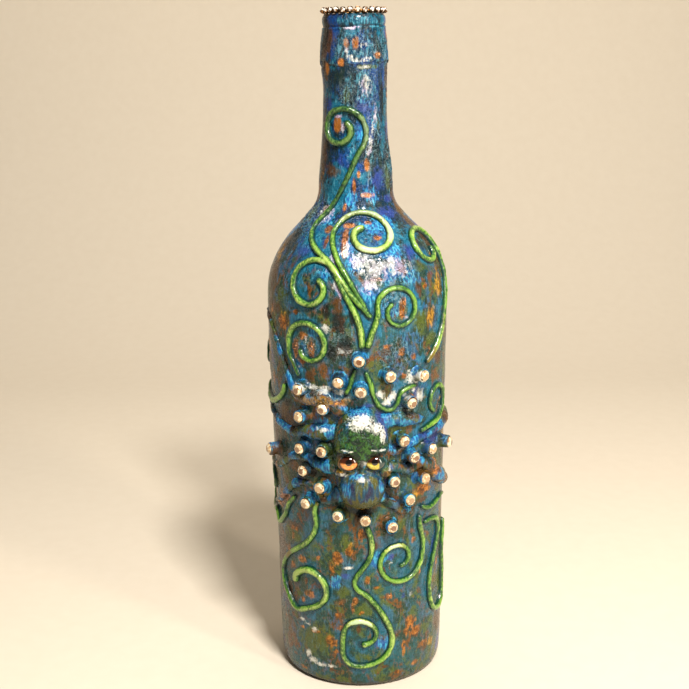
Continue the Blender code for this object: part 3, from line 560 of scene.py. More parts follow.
stone = glossy("cut_resin", 0.05, 1.6, 0.02)
# The facets' colour is painted glint and painted reflection: dark brown where dull, then cream, then near
# white
painted_glint = stone.brushed("painted_glint")
cream = stone.mix(painted_glint.within(0.0, 0.5), paint(96, 54, 30), paint(204, 172, 128))
light = stone.mix(painted_glint.within(0.5, 0.85), cream, paint(252, 240, 206))
cloud = stone.grain(FOIL_SIZE, detail=2)
stone.feed({
    "Base Color": stone.mix(cloud.within(0.35, 0.7) * 0.35, light, paint(168, 126, 86)),
    "Metallic": 0.25 * painted_glint.within(0.3, 0.9),
})

chance = random.Random(4)
cut = brilliant()
for count, (bearing, height) in enumerate(STUDS, 1):
    bm = bmesh.new()
    spun = Matrix.Rotation(math.radians(chance.uniform(0, STONE_SPIN)), 4, "Z")
    lean = Matrix.Rotation(math.radians(chance.uniform(-STONE_LEAN, STONE_LEAN)), 4, "X")
    place = stud_place(bearing, height)
    gathered(bm, cut, place @ lean @ spun)
    shade = bm.faces.layers.float.new("painted_glint")
    middle = place @ Vector((0, 0, TABLE[1]))
    out = (middle - place.translation).normalized()
    bm.normal_update()
    # Each facet's painted glint: dull at the table and on the sides, random elsewhere
    for face in bm.faces:
        at_table = (face.calc_center_median() - middle).length < TABLE_REACH
        at_side = abs(face.normal.dot(out)) < SIDE_FACING
        dull = at_table or at_side
        face[shade] = chance.uniform(0.0, DULL_GLINT) if dull else chance.random() ** GLINT_POWER
    piece = mesh_object(f"set_stone_{count:02d}", bm, [stone], sharp=5)
    part_of_bottle(piece, "cut_stone", f"stone_{count:02d}")
cut.free()


# A chain of small gilt cups is glued round the lip with its stones facing out, each cup with four claws
# over a clear stone, and a short link to the next.
CHAIN_COUNT = 26
CHAIN_RADIUS = 12.5
CHAIN_FOOT = 301.1
CUP_RADIUS = 1.3
CUP_HEIGHT = 1.2
CUP_SIDES = 12
CUP_TAPER = 0.86
CUP_LEAN = 66
CUP_UNEVENNESS = 7
CLAW_COUNT = 4
CLAW_WIDTH = 0.42
CLAW_HEIGHT = 0.85
CLAW_LEAN = -24
CLAW_PLACE = (0.84, 0.2)
CHAIN_STONE_RADIUS = 1.1
CHAIN_STONE_HEIGHT = 0.75
CHAIN_STONE_TAPER = 0.5
CHAIN_STONE_SINK = 0.05
CHAIN_STONE_SIDES = 8
LINK_RADIUS = 0.4
LINK_GAP = 0.9
LINK_SIDES = 8
TARNISH_SIZE = 1.4
RUB_SIZE = 0.4
RUB_DEPTH = 0.03

gilt = Finish("worn_gilt", {"Metallic": 1.0, "IOR": 1.5})
tarnish = gilt.grain(TARNISH_SIZE, detail=4)
rub = gilt.grain(RUB_SIZE, detail=2)
gilt.feed({
    "Base Color": gilt.mix(tarnish.within(0.42, 0.62), paint(150, 104, 58), paint(52, 32, 20)),
    "Roughness": 0.2 + 0.3 * tarnish.within(0.4, 0.7),
    "Normal": gilt.bump(rub, RUB_DEPTH, 0.5),
})

# The clear stones' colour is a painted sparkle: each face dark brown or near white at random
clear = glossy("clear_chain_stone", 0.03, 1.7, 0.02)
painted_sparkle = clear.brushed("painted_glint")
clear.feed({"Base Color": clear.mix(painted_sparkle.within(0.1, 0.6), paint(120, 92, 70), paint(255, 250, 240))})


def cone(bm, sides, foot, top, height):
    """The vertices of a capped cone on the Z axis, centred on the origin."""
    return bmesh.ops.create_cone(
        bm, cap_ends=True, segments=sides, radius1=foot, radius2=top, depth=height
    )["verts"]


def cup_and_stone():
    """A cup with its claws and link, and the stone in it as a second material."""
    bm = bmesh.new()
    body = cone(bm, CUP_SIDES, CUP_RADIUS * CUP_TAPER, CUP_RADIUS, CUP_HEIGHT)
    bmesh.ops.translate(bm, vec=(0, 0, CUP_HEIGHT / 2), verts=body)
    seat, rise = CLAW_PLACE
    for turn in range(CLAW_COUNT):
        claw = bmesh.ops.create_cube(bm, size=1)["verts"]
        bmesh.ops.scale(bm, vec=(CLAW_WIDTH, CLAW_WIDTH, CLAW_HEIGHT), verts=claw)
        out = Matrix.Rotation(math.radians(360 * (turn + 0.5) / CLAW_COUNT), 4, "Z")
        lean = Matrix.Rotation(math.radians(CLAW_LEAN), 4, "Y")
        place = Matrix.Translation((CUP_RADIUS * seat, 0, CUP_HEIGHT + CLAW_HEIGHT * rise))
        bmesh.ops.transform(bm, matrix=out @ place @ lean, verts=claw)
    link = cone(bm, LINK_SIDES, LINK_RADIUS, LINK_RADIUS, 2 * CUP_RADIUS + LINK_GAP)
    aside = Matrix.Translation((0, 0, LINK_RADIUS)) @ Matrix.Rotation(math.radians(90), 4, "Y")
    bmesh.ops.transform(bm, matrix=aside, verts=link)
    stone_top = CHAIN_STONE_RADIUS * CHAIN_STONE_TAPER
    gem = cone(bm, CHAIN_STONE_SIDES, CHAIN_STONE_RADIUS, stone_top, CHAIN_STONE_HEIGHT)
    lift = CUP_HEIGHT + CHAIN_STONE_HEIGHT / 2 - CHAIN_STONE_SINK
    bmesh.ops.translate(bm, vec=(0, 0, lift), verts=gem)
    for face in {face for vert in gem for face in vert.link_faces}:
        face.material_index = 1
    return bm


cup = cup_and_stone()
bm = bmesh.new()
for count in range(CHAIN_COUNT):
    turn = Matrix.Rotation(math.tau * (count + 0.5) / CHAIN_COUNT, 4, "Z")
    lean = CUP_LEAN + chance.uniform(-CUP_UNEVENNESS, CUP_UNEVENNESS)
    tip = Matrix.Rotation(math.radians(lean), 4, "X")
    gathered(bm, cup, turn @ Matrix.Translation((0, -CHAIN_RADIUS, CHAIN_FOOT)) @ tip)
cup.free()
# A random painted glint on every face of the chain, which the clear stones show as painted sparkle
shade = bm.faces.layers.float.new("painted_glint")
for face in bm.faces:
    face[shade] = chance.random()
bmesh.ops.recalc_face_normals(bm, faces=bm.faces)
part_of_bottle(mesh_object("rim_chain", bm, [gilt, clear], sharp=30), "gilt_chain", "rim_cup_chain")


# The creature's head is one piece of clay on the front: a tall dome over a rounded muzzle, with a brow,
# lids and cheeks pinched round two sockets, and a thin skirt pressed out onto the bottle.
HEAD_BEARING = 1.0
HEAD_HEIGHT = 112.35
HEAD_VOXEL = 0.42
HEAD_SMOOTHING = 2
HEAD_SOFTNESS = 0.6
HEAD_SINK = 0.35
BALL_STEPS = 48
BALL_RINGS = 32
# The head's balls of clay: across, out and up to the middle, width, depth and height, then squareness
HEAD_BALLS = (
    (0, 0, -0.2, 24.6, 6.8, 46.4, 2.3),
    (0, 0, 8.6, 23.8, 17.6, 28.8, 2.3),
    (0, 0, 0.8, 23.6, 10.4, 26.6, 2.6),
    (0, 0, -12.6, 20.4, 21, 20.2, 2.2),
    (0, 0.4, -1.4, 4.2, 15, 12, 2),
    (-6.2, 4.4, 5.8, 10.4, 8, 3.4, 2),
    (6.2, 4.4, 5.8, 10.4, 8, 3.4, 2),
    (-9, 2, -5, 5.8, 6.4, 5.6, 2),
    (9.6, 2, -5.2, 6.2, 7.2, 6.4, 2),
)
# Pushes on the face: across, up and reach, then how far out they move the clay
HEAD_PUSHES = (
    (-5.8, 0, 5.4, -2),
    (5.8, 0, 5.4, -2),
    (-6, 6, 3.6, 0.8),
    (6, 6, 3.6, 0.8),
    (0, -5.4, 3.4, 0.5),
)
EYE_SIZES = (8.8, 4.8, 6.8)
EYE_SPACING = 11.2
EYE_SET = 5.5
EYE_DROP = 0.3
SOCKET_ROOM = 0.2
LID_SIZES = (EYE_SIZES[0] + 1.6, 2.6, EYE_SIZES[2] + 1.5)
LID_RISE = 0.2
PEBBLE_SIZE = 1.15
PEBBLE_RISE = 0.34
GROOVE_SIZE = 1.2
GROOVE_RISE = 0.22
GROOVE_STRETCH = 0.12
# How far above the eyes the dome starts and over what height, and how far below them the muzzle does
DOME_FROM = 4
DOME_FADE = 5
MUZZLE_FROM = 4
MUZZLE_FADE = 4


def head_place():
    """A frame on the clay behind the head: X across the face, -Y out of it, Z up."""
    turn = Matrix.Rotation(math.radians(HEAD_BEARING), 4, "Z")
    return turn @ Matrix.Translation((0, -float(clay_radius(HEAD_HEIGHT)), HEAD_HEIGHT))


def ball(bm, middle, sizes, squareness=2.0):
    """Adds a stretched, more or less square ball."""
    verts = bmesh.ops.create_uvsphere(bm, u_segments=BALL_STEPS, v_segments=BALL_RINGS, radius=1)["verts"]
    for vert in verts:
        reach = sum(abs(part) ** squareness for part in vert.co) ** (1 / squareness)
        vert.co = Vector(part / reach * size / 2 for part, size in zip(vert.co, sizes)) + Vector(middle)


bm = bmesh.new()
for across, out, up, wide, deep, tall, squareness in HEAD_BALLS:
    ball(bm, (across, -out, up), (wide, deep, tall), squareness)
for side in (-1, 1):
    ball(bm, (side * EYE_SPACING / 2, -EYE_SET - LID_RISE, -EYE_DROP), LID_SIZES)
lump = mesh_object("head_lump", bm, [])
remesh = lump.modifiers.new("one_piece", "REMESH")
remesh.mode = "VOXEL"
remesh.voxel_size = HEAD_VOXEL * MM
soften = lump.modifiers.new("softened", "SMOOTH")
soften.factor = HEAD_SOFTNESS
soften.iterations = HEAD_SMOOTHING


def finished_mesh(piece):
    """The piece's mesh with its modifiers applied, as a bmesh in millimetres; the piece is removed."""
    bpy.context.view_layer.update()
    mesh = bpy.data.meshes.new_from_object(piece.evaluated_get(bpy.context.evaluated_depsgraph_get()))
    bm = bmesh.new()
    bm.from_mesh(mesh)
    bmesh.ops.scale(bm, vec=(1 / MM,) * 3, verts=bm.verts)
    bpy.data.meshes.remove(mesh)
    bpy.data.objects.remove(piece, do_unlink=True)
    return bm


def eased(share):
    """A soft step from 0 to 1."""
    share = min(1, max(0, share))
    return share * share * (3 - 2 * share)


bm = finished_mesh(lump)
for vert in bm.verts:
    across, out, up = vert.co.x, -vert.co.y, vert.co.z
    if out > 0:
        for push_across, push_up, reach, move in HEAD_PUSHES:
            near = eased(1 - math.hypot(across - push_across, up - push_up) / reach)
            vert.co.y -= move * near
bm.normal_update()
for vert in bm.verts:
    across, up = vert.co.x, vert.co.z
    on_dome = eased((up - DOME_FROM) / DOME_FADE)
    on_muzzle = eased((-MUZZLE_FROM - up) / MUZZLE_FADE)
    pebbles = 1 - 2 * abs(noise.noise(vert.co / PEBBLE_SIZE)) - 0.5
    streak = Vector((across, vert.co.y, up * GROOVE_STRETCH))
    grooves = noise.noise(streak / GROOVE_SIZE)
    vert.co += vert.normal * (PEBBLE_RISE * pebbles * on_dome + GROOVE_RISE * grooves * on_muzzle)
bmesh.ops.transform(bm, matrix=head_place(), verts=bm.verts)
for vert in bm.verts:
    seat = float(clay_radius(vert.co.z)) - HEAD_SINK
    reach = math.hypot(vert.co.x, vert.co.y)
    if reach < seat:
        vert.co.x *= seat / reach
        vert.co.y *= seat / reach
head = mesh_object("octopus_head", bm, [])

socket_bm = bmesh.new()
for side in (-1, 1):
    middle = (side * EYE_SPACING / 2, -EYE_SET, -EYE_DROP)
    ball(socket_bm, middle, [size + SOCKET_ROOM for size in EYE_SIZES])
bmesh.ops.transform(socket_bm, matrix=head_place(), verts=socket_bm.verts)
sockets = mesh_object("eye_sockets", socket_bm, [])
hollow = head.modifiers.new("sockets", "BOOLEAN")
hollow.operation = "DIFFERENCE"
hollow.object = sockets
hollow.solver = "EXACT"
bm = finished_mesh(head)
bpy.data.objects.remove(sockets, do_unlink=True)
head = mesh_object("octopus_head", bm, [], sharp=60)
part_of_bottle(head, "painted_head", "creature_head")


# Two ovals of amber glass are the eyes, pressed into the sockets: a dark pupil under the brow, and a
# glow of orange on the left and yellow on the right.
PUPIL_RADIUS = 1.25
PUPIL_EDGE = 0.35
PUPIL_RISE = 0.9
BROW_SHADE_LOW = -0.9
BROW_SHADE_HIGH = 0.5
RIM_FROM = 3.3
RIM_TO = 4.3
GLASSY_FROM = 1.9
GLASSY_EDGE = 0.6
SPECK_SIZE = 0.7
# Each eye's side of the face, and the deep and the bright colour of its glow
EYE_GLOWS = {
    "eye_left": (-1, (232, 126, 44), (250, 176, 84)),
    "eye_right": (1, (192, 164, 40), (228, 214, 90)),
}

for name, (side, deep, bright) in EYE_GLOWS.items():
    amber = glossy(f"amber_{name}", 0.05, 1.52, 0.02)
    bm = bmesh.new()
    ball(bm, (side * EYE_SPACING / 2, -EYE_SET, -EYE_DROP), EYE_SIZES)
    bmesh.ops.transform(bm, matrix=head_place(), verts=bm.verts)
    middle = head_place() @ Vector((side * EYE_SPACING / 2, 0, PUPIL_RISE - EYE_DROP))
    flat = amber.vector("MULTIPLY", amber.vector("SUBTRACT", amber.place, tuple(middle)), (1, 0, 1))
    away = amber.node("ShaderNodeVectorMath", {"operation": "LENGTH"}, {0: flat}, "Value")
    specks = amber.grain(SPECK_SIZE, detail=4)
    glow = amber.mix(specks.within(0.35, 0.65), paint(*deep), paint(*bright))
    shade = (amber.height() + 0.8 * specks).within(middle.z + BROW_SHADE_LOW, middle.z + BROW_SHADE_HIGH)
    shaded = amber.mix(shade, glow, paint(62, 26, 10))
    ringed = amber.mix(away.within(PUPIL_RADIUS, PUPIL_RADIUS + PUPIL_EDGE), paint(12, 6, 5), shaded)
    rim = amber.mix((away + 0.4 * specks).within(RIM_FROM, RIM_TO), ringed, paint(70, 40, 18))
    across = amber.node("ShaderNodeSeparateXYZ", {}, {"Vector": amber.place}, "X")
    glassy_from = middle.x + GLASSY_FROM
    glassy = (across + 0.6 * specks).within(glassy_from, glassy_from + GLASSY_EDGE)
    amber.feed({"Base Color": amber.mix(glassy, rim, paint(30, 52, 50)) if side > 0 else rim})
    part_of_bottle(mesh_object(f"amber_{name}", bm, [amber]), "amber_glass", name)


# Eight arms of soft clay are rolled to a taper, pressed down round the bottle from under the head, and
# stroked along their length. Each route is bearing, height and thickness, and goes round the back.
ARM_WIDTH = 7.2
ARM_HEIGHT = 3.5
ROLL_STEP = 0.02
ROLL_TIP = 0.03
# How much a roll's girth varies, and how many lumps there are to a radian round the bottle
ROLL_LUMP = 0.12
ROLL_LUMPS = 9
# The roll's outline, pressed flat where it lies on the clay: shares of its width and height
ROLL_SECTION = (
    (-0.44, -0.3), (-0.5, 0.12), (-0.47, 0.4), (-0.38, 0.68), (-0.22, 0.9), (0, 1), (0.22, 0.9),
    (0.38, 0.68), (0.47, 0.4), (0.5, 0.12), (0.44, -0.3),
)
ARMS = {
    "arm_upper_left": (
        (-8, 132, 0.9), (-20, 139.2, 1), (-29, 138.3, 0.95), (-37, 137.7, 0.65), (-45, 140.4, 0.5),
        (-51, 147.9, 0.45), (-59, 158.1, 0.4), (-70, 167.1, 0.34), (-84, 172.5, 0.26),
    ),
    "arm_left": (
        (-12, 124.5, 1), (-26, 123.3, 0.95), (-37, 122.7, 0.75), (-47, 121.2, 0.62), (-60, 122.4, 0.55),
        (-76, 126, 0.45), (-92, 127.2, 0.38), (-104, 121.2, 0.3),
    ),
    "arm_lower_left": (
        (-12, 108.6, 1), (-24, 108, 0.9), (-35, 110.4, 0.62), (-45, 110.1, 0.55), (-56, 106.2, 0.5),
        (-68, 101.4, 0.42), (-84, 99.6, 0.38), (-100, 103.5, 0.32), (-112, 109.5, 0.24),
    ),
    "arm_low_left": (
        (-10, 99, 1), (-17.5, 92.7, 0.75), (-24.5, 91.8, 0.52), (-29.8, 95.7, 0.45), (-38, 98.1, 0.45),
        (-47, 96.6, 0.5), (-57, 90.9, 0.5), (-68, 84.6, 0.42), (-82, 80.4, 0.28),
    ),
    "arm_low_right": ((8, 97.8, 1), (15, 93, 0.75), (22, 88.95, 0.6), (30, 85.5, 0.5), (37.5, 85.8, 0.3)),
    "arm_lower_right": (
        (12, 108.6, 1), (25, 106.5, 0.72), (33.5, 104.7, 0.72), (42, 106.5, 0.68), (51, 103.8, 0.8),
        (61, 97.5, 1), (73, 92.7, 0.85), (88, 90, 0.6), (102, 92.7, 0.4), (112, 97.5, 0.24),
    ),
    "arm_right": (
        (14, 116.4, 0.9), (23, 114, 0.65), (30, 115.5, 0.55), (39, 117.6, 0.55), (49, 118.2, 0.5),
        (60, 119.7, 0.7), (76, 120.6, 0.7), (94, 120.9, 0.5), (110, 117.6, 0.4), (128, 115.5, 0.3),
        (140, 118.5, 0.22),
    ),
    "arm_upper_right": ((10, 128.4, 1), (24, 129, 0.95), (35, 128.1, 0.8), (46, 125.7, 0.35)),
}
SHEET_RADIUS = 40.6
# How far up the sheet that unrolls the clay each row of its side lies, in radians
side_lengths = np.hypot(np.diff(CLAY_SIDE[:, 0]), np.diff(CLAY_SIDE[:, 1]))
side_radii = (CLAY_SIDE[1:, 1] + CLAY_SIDE[:-1, 1]) / 2
CLIMB = np.concatenate([[0], np.cumsum(side_lengths / side_radii)])


def on_sheet(route):
    """Places on the sheet that unrolls the clay, in radians, from bearings and heights."""
    return [
        np.array((math.radians(bearing), np.interp(height, CLAY_SIDE[:, 0], CLIMB), thickness))
        for bearing, height, thickness in route
    ]


def on_clay(turns, heights):
    """Points on the clay's side, as rows, from turns in radians and heights."""
    radii = clay_radius(heights)
    return np.stack([np.sin(turns) * radii, -np.cos(turns) * radii, heights], axis=1)


def rolled_strip(name, knots, width, height, sink):
    """A strip of clay drawn on the flat sheet with rounded ends, then wrapped onto the bottle."""
    points = through(knots, ROLL_STEP)
    spans = np.hypot(*np.diff(points[:, :2], axis=0).T)
    along = np.concatenate([[0], np.cumsum(spans)])
    curve = bpy.data.curves.new(name, "CURVE")
    curve.dimensions = "3D"
    curve.twist_mode = "Z_UP"
    curve.bevel_mode = "OBJECT"
    curve.use_fill_caps = True
    section = bpy.data.curves.new(f"{name}_section", "CURVE")
    section.dimensions = "2D"
    outline = section.splines.new("POLY")
    outline.points.add(len(ROLL_SECTION) - 1)
    for point, (across, up) in zip(outline.points, ROLL_SECTION):
        point.co = (across * width * MM, up * height * MM, 0, 1)
    outline.use_cyclic_u = True
    guide = bpy.data.objects.new(f"{name}_section", section)
    bpy.context.scene.collection.objects.link(guide)
    curve.bevel_object = guide
    spline = curve.splines.new("POLY")
    spline.points.add(len(points) - 1)
    scale = SHEET_RADIUS * MM
    for point, (across, up, thickness), went in zip(spline.points, points, along):
        girth = float(clay_radius(np.interp(up, CLIMB, CLAY_SIDE[:, 0])))
        half = width / 2 * thickness / girth
        end = min(went, along[-1] - went) / half
        round_off = math.sqrt(max(ROLL_TIP, 1 - (1 - min(1, end)) ** 2))
        lump = 1 + ROLL_LUMP * noise.noise(Vector((across * ROLL_LUMPS, up * ROLL_LUMPS, 0)))
        point.co = (across * scale, up * scale, 0, 1)
        point.radius = thickness * SHEET_RADIUS / girth * round_off * lump
    flat = bpy.data.objects.new(name, curve)
    bpy.context.scene.collection.objects.link(flat)
    bm = finished_mesh(flat)
    bpy.data.objects.remove(guide, do_unlink=True)
    bmesh.ops.remove_doubles(bm, verts=bm.verts, dist=WELD)
    flat_points = np.array([vert.co for vert in bm.verts])
    heights = np.interp(flat_points[:, 1] / SHEET_RADIUS, CLIMB, CLAY_SIDE[:, 0])
    bearings = np.degrees(flat_points[:, 0] / SHEET_RADIUS)
    rises = flat_points[:, 2] * clay_radius(heights) / SHEET_RADIUS - sink
    crest = bm.verts.layers.float.new("rise")
    wrapped = on_clay(np.radians(bearings), heights) + straight_out(bearings, heights) * rises[:, None]
    for vert, place, rise in zip(bm.verts, wrapped, rises):
        vert.co = place
        vert[crest] = (rise + sink) / height
    return bm


def route_points(knots):
    """The middle line of a strip on the clay, in millimetres, with its thickness."""
    turns, climbs, thicknesses = through(knots, ROLL_STEP).T
    return np.column_stack([on_clay(turns, np.interp(climbs, CLIMB, CLAY_SIDE[:, 0])), thicknesses])


ARM_SINK = 0.3
ARM_LUMP = 0.55
ARM_LUMP_SIZE = 4.5
ARM_WRINKLE = 0.55
ARM_WRINKLE_SIZE = 2.1
ARM_WRINKLE_LEVEL = 0.4
arms = []
arm_routes = []
for name, route in ARMS.items():
    knots = on_sheet(route)
    bm = rolled_strip(name, knots, ARM_WIDTH, ARM_HEIGHT, ARM_SINK)
    bm.normal_update()
    for vert in bm.verts:
        lump = noise.noise(vert.co / ARM_LUMP_SIZE) * ARM_LUMP
        lump += (ARM_WRINKLE_LEVEL - abs(noise.noise(vert.co / ARM_WRINKLE_SIZE))) * ARM_WRINKLE
        vert.co += vert.normal * lump
    bmesh.ops.recalc_face_normals(bm, faces=bm.faces)
    arms.append(part_of_bottle(mesh_object(f"clay_{name}", bm, []), "painted_arm", name))
    arm_routes.append((route_points(knots), ARM_WIDTH))


# The scrolls are thin ropes of clay laid on last: stems that end in curls over the neck, the shoulder and
# the foot. Their tops are dry-brushed lime over a dark green that stays in their flanks, which are also
# painted shade, and a painted highlight runs along their crests.
SCROLL_WIDTH = 2.7
SCROLL_HEIGHT = 1.9
SCROLL_SINK = 0.15
SCROLL_LUMP = 0.16
SCROLL_LUMP_SIZE = 2.1
SCROLL_DENT = 0.06
SCROLL_DENT_SIZE = 0.9
CURL_STEP = 18
# A stem's bearings, heights and thicknesses. Then the curl it ends in: its middle, its first and last
# radius, where it starts and how far it sweeps, all in degrees, how late it tightens, and its first and
# last thickness
CURLS = {
    "neck_strand": (
        (
            (8, 174.9, 0.9), (-3, 183.9, 1), (-18, 196.5, 1.15), (-38, 204.9, 0.95), (-46, 210.9, 0.9),
            (-37, 218.1, 0.9), (-21, 227.1, 0.9), (-8, 234.6, 0.95),
        ),
        (-25.4, 252, 50, 14, 306, 475, 0.75, 0.95, 1.2),
    ),
    "left_strand": (
        ((1.9, 161.6, 1.05), (1.6, 168, 1.15), (-1, 175.5, 1.1), (-6, 182.7, 1)),
        (-29.1, 188.4, 17, 3.5, 14, 398, 2.2, 1, 1.1),
    ),
    "crown_strand": (
        ((5.5, 177.6, 0.8), (-4, 189, 0.95), (-13, 198, 0.95)),
        (8.3, 208.9, 30, 4, 203, -462, 1.5, 0.95, 1.35),
    ),
    "right_strand": (
        ((4.9, 161.6, 1.05), (7.4, 167.1, 1.1), (11.2, 175.2, 1)),
        (24.6, 177.6, 14.2, 5, 150, -385, 1.4, 0.95, 0.8),
    ),
    "shoulder_tendril_right": (
        ((46, 151.8, 0.9), (55, 157.2, 1.15), (64, 165.6, 1.1), (71, 178.5, 1), (77, 190.5, 0.95)),
        (63.6, 201.5, 16.5, 5, 358, 346, 3, 1.15, 1),
    ),
    "body_tendril_left": (
        ((-39.5, 147.2, 0.7), (-43, 152.1, 0.8), (-47, 157.2, 0.9)),
        (-33, 162, 14.2, 5, 183, -335, 2.6, 1.1, 0.95),
    ),
    "foot_tendril_right": (
        ((42, 81.6, 0.9), (43, 75, 1), (46, 68.4, 1)),
        (25.8, 62.6, 20, 4.5, 6, -455, 0.9, 1, 0.85),
    ),
    "side_hook_right": (
        ((42, 121.05, 0.8), (51, 122.4, 0.95), (61, 123.9, 1)),
        (59.2, 133.3, 11.8, 7.6, 318, 300, 0.5, 1, 0.8),
    ),
    "edge_tendril_left": (
        ((-52.8, 142.65, 1), (-56, 137.7, 1.1), (-63, 133.8, 1.1), (-74, 131.1, 1.05), (-88, 132.3, 1)),
        (-99, 147, 17, 6, 280, -300, 1.2, 1, 0.8),
    ),
    "side_loop_left": (
        ((-47, 90.3, 0.8), (-54, 85.5, 0.95), (-60, 78.6, 1), (-70, 73.2, 1)),
        (-86, 88.8, 19, 7, 305, -320, 1.2, 1, 0.8),
    ),
    "back_tendril_right": (
        ((124, 126, 0.9), (132, 141, 1), (128, 156, 1), (136, 169.5, 1)),
        (118, 183, 18, 5, 340, 400, 1.2, 1, 0.8),
    ),
    "back_tendril_left": (
        ((-150, 120, 0.9), (-160, 135, 1), (-168, 150, 1), (-160, 168, 1)),
        (-178, 183, 19, 5, 340, 420, 1.2, 1, 0.8),
    ),
    "back_tendril_low": (
        ((166, 99, 0.9), (158, 84, 1), (164, 69, 1), (176, 55.5, 1)),
        (158, 39, 20, 5, 60, -430, 1.2, 1, 0.85),
    ),
}
STROKES = {
    "foot_tendril_left": (
        (-28.5, 91, 0.9), (-31, 85.5, 1), (-30, 80, 1), (-32.5, 74.5, 1), (-39, 69, 1.05), (-47, 65, 1),
        (-57, 60, 0.95), (-64, 54.5, 0.95), (-67, 49.5, 0.95), (-65, 44.5, 0.95), (-59.5, 39.5, 1),
        (-53.5, 35.8, 1.05), (-48.3, 34.3, 1.1), (-42, 35.9, 1.1), (-34, 38.3, 1.1), (-28, 41, 1.1),
        (-24, 45, 1.15), (-24.2, 49.6, 1.2), (-28.5, 54, 1.2), (-35.5, 56, 1.25), (-43, 55, 1.3),
        (-48.5, 51.8, 1.35), (-50, 47.5, 1.3),
    ),
    "foot_tendril_middle": (
        (3.5, 80.7, 0.9), (6.3, 75, 1.05), (7, 69.5, 1.05), (5.5, 64.5, 1), (1.2, 60, 0.95),
        (-3, 56, 0.95), (-4.6, 52.4, 0.95), (-2.5, 49.6, 1), (3.5, 46.6, 1), (9, 42.2, 1),
        (14.2, 36.5, 1.05), (18.2, 31, 1.1), (20.6, 25.3, 1.15), (19.8, 20, 1.1), (16, 15.8, 1.05),
        (9, 12.9, 1), (0, 11.6, 1), (-8, 12.6, 1), (-12.3, 16, 1), (-13, 22, 1), (-12, 28.6, 1),
        (-8.2, 32.8, 1.05), (-1, 34.3, 1.1), (5.8, 32.4, 1), (9.6, 28.8, 0.95), (8.6, 25.2, 0.9),
        (4, 22.9, 0.95), (-0.6, 22.3, 1.2),
    ),
    "strand_by_stud_left": (
        (-1.9, 153, 0.7), (-4.2, 148.8, 0.9), (-5.8, 144.6, 0.85), (-8.5, 141.3, 0.8),
    ),
    "strand_by_stud_right": (
        (3.5, 151.8, 0.7), (6.6, 147, 0.9), (8.6, 141, 0.9), (13, 135.45, 0.9), (19, 133.65, 0.9),
        (23.6, 135.9, 0.85), (26.4, 140.7, 0.85), (33, 142.8, 0.8), (38.5, 142.95, 0.6),
    ),
    "foot_loop_right": (
        (46.5, 76.8, 0.9), (56, 76.8, 1), (63, 74.7, 1), (65, 69, 1), (60, 60, 0.95), (54.5, 49.5, 0.95),
        (54, 39, 1), (60, 30.9, 1.05), (70, 29.4, 1.05), (77, 33.6, 1), (79, 45, 1), (77, 57, 0.95),
        (82, 70.5, 0.9),
    ),
    "side_stroke_right": (
        (43.5, 85.5, 0.8), (51, 83.1, 0.95), (60, 83.7, 0.95), (70, 84.9, 0.8), (80, 83.4, 0.6),
    ),
}
SPRAY = ("neck_strand", "left_strand", "crown_strand", "right_strand")


def curl(bearing, height, first, last, start, sweep, lateness, thick, thin):
    """Sheet places round a curl, whose radius falls from the first to the last as it turns."""
    middle = on_sheet([(bearing, height, 0)])[0]
    turns = max(2, round(abs(sweep) / CURL_STEP))
    knots = []
    for turn in range(turns + 1):
        share = turn / turns
        radius = math.radians(first + (last - first) * share**lateness)
        angle = math.radians(start + sweep * share)
        place = (radius * math.cos(angle), radius * math.sin(angle), thick + (thin - thick) * share)
        knots.append(middle + np.array(place))
    return knots


STROKE_SIZE = 0.8
PATCH_SIZE = 7
NICK_SIZE = 0.35
LIME_RELIEF = 0.10

varnish = {"IOR": 1.5, "Specular IOR Level": 0.3, "Coat Weight": 0.4, "Coat Roughness": 0.08}
lime = Finish("dry_brushed_lime", varnish)
crest = lime.brushed("rise")
strokes = lime.grain(STROKE_SIZE, stretch=(1, 1, 1.6), detail=4)
patches = lime.grain(PATCH_SIZE, detail=2)
pale_paint_and_sheen = lime.brushed("pale_paint_and_sheen")
golden = lime.brushed("golden")
# The flanks' dark green is both paint and painted shade
flank_paint_and_shade = lime.mix(patches.within(0.4, 0.62), paint(8, 46, 48), paint(16, 62, 30))
green = lime.mix(strokes.within(0.35, 0.65), paint(44, 84, 32), paint(74, 118, 42))
lit = lime.mix((patches + 0.5 * strokes - 0.25).within(0.42, 0.64), green, paint(106, 150, 54))
# Pale paint where the scrolls are marked pale; the same marks turn their painted highlight mint
top = lime.mix((pale_paint_and_sheen + 0.6 * strokes - 0.3).within(0.1, 0.6), lit, paint(178, 188, 96))
on_neck = lime.height().within(206, 224)
neck_marks = (strokes + 0.3 * (crest - 0.6)).within(0.44, 0.66)
neck_green = lime.mix(neck_marks, paint(14, 42, 30), paint(50, 90, 46))
gilded = lime.mix((golden + 0.8 * (strokes - 0.5)).within(0.2, 0.6), top, paint(108, 94, 22))
dulled = lime.mix(on_neck * 0.9, gilded, neck_green)
brushed = lime.mix((crest + 0.6 * strokes - 0.3).within(0.42, 0.86), flank_paint_and_shade, dulled)
# Painted highlight along the crest of each scroll, pale yellow-green, mint where the clay is marked pale
painted_highlight_mask = (crest + 0.8 * strokes + 0.3 * pale_paint_and_sheen - 0.4).within(0.90, 1.16)
painted_highlight_tone = lime.mix(pale_paint_and_sheen.within(0.1, 0.7), paint(184, 204, 112), paint(186, 218, 192))
painted_highlight_share = painted_highlight_mask * (0.6 - 0.42 * on_neck) * (1 - 0.8 * golden)
lime.feed({
    "Base Color": lime.mix(painted_highlight_share, brushed, painted_highlight_tone),
    "Roughness": 0.24 + 0.2 * strokes,
    "Normal": lime.bump(strokes + 0.4 * lime.grain(NICK_SIZE), LIME_RELIEF, 0.7),
})

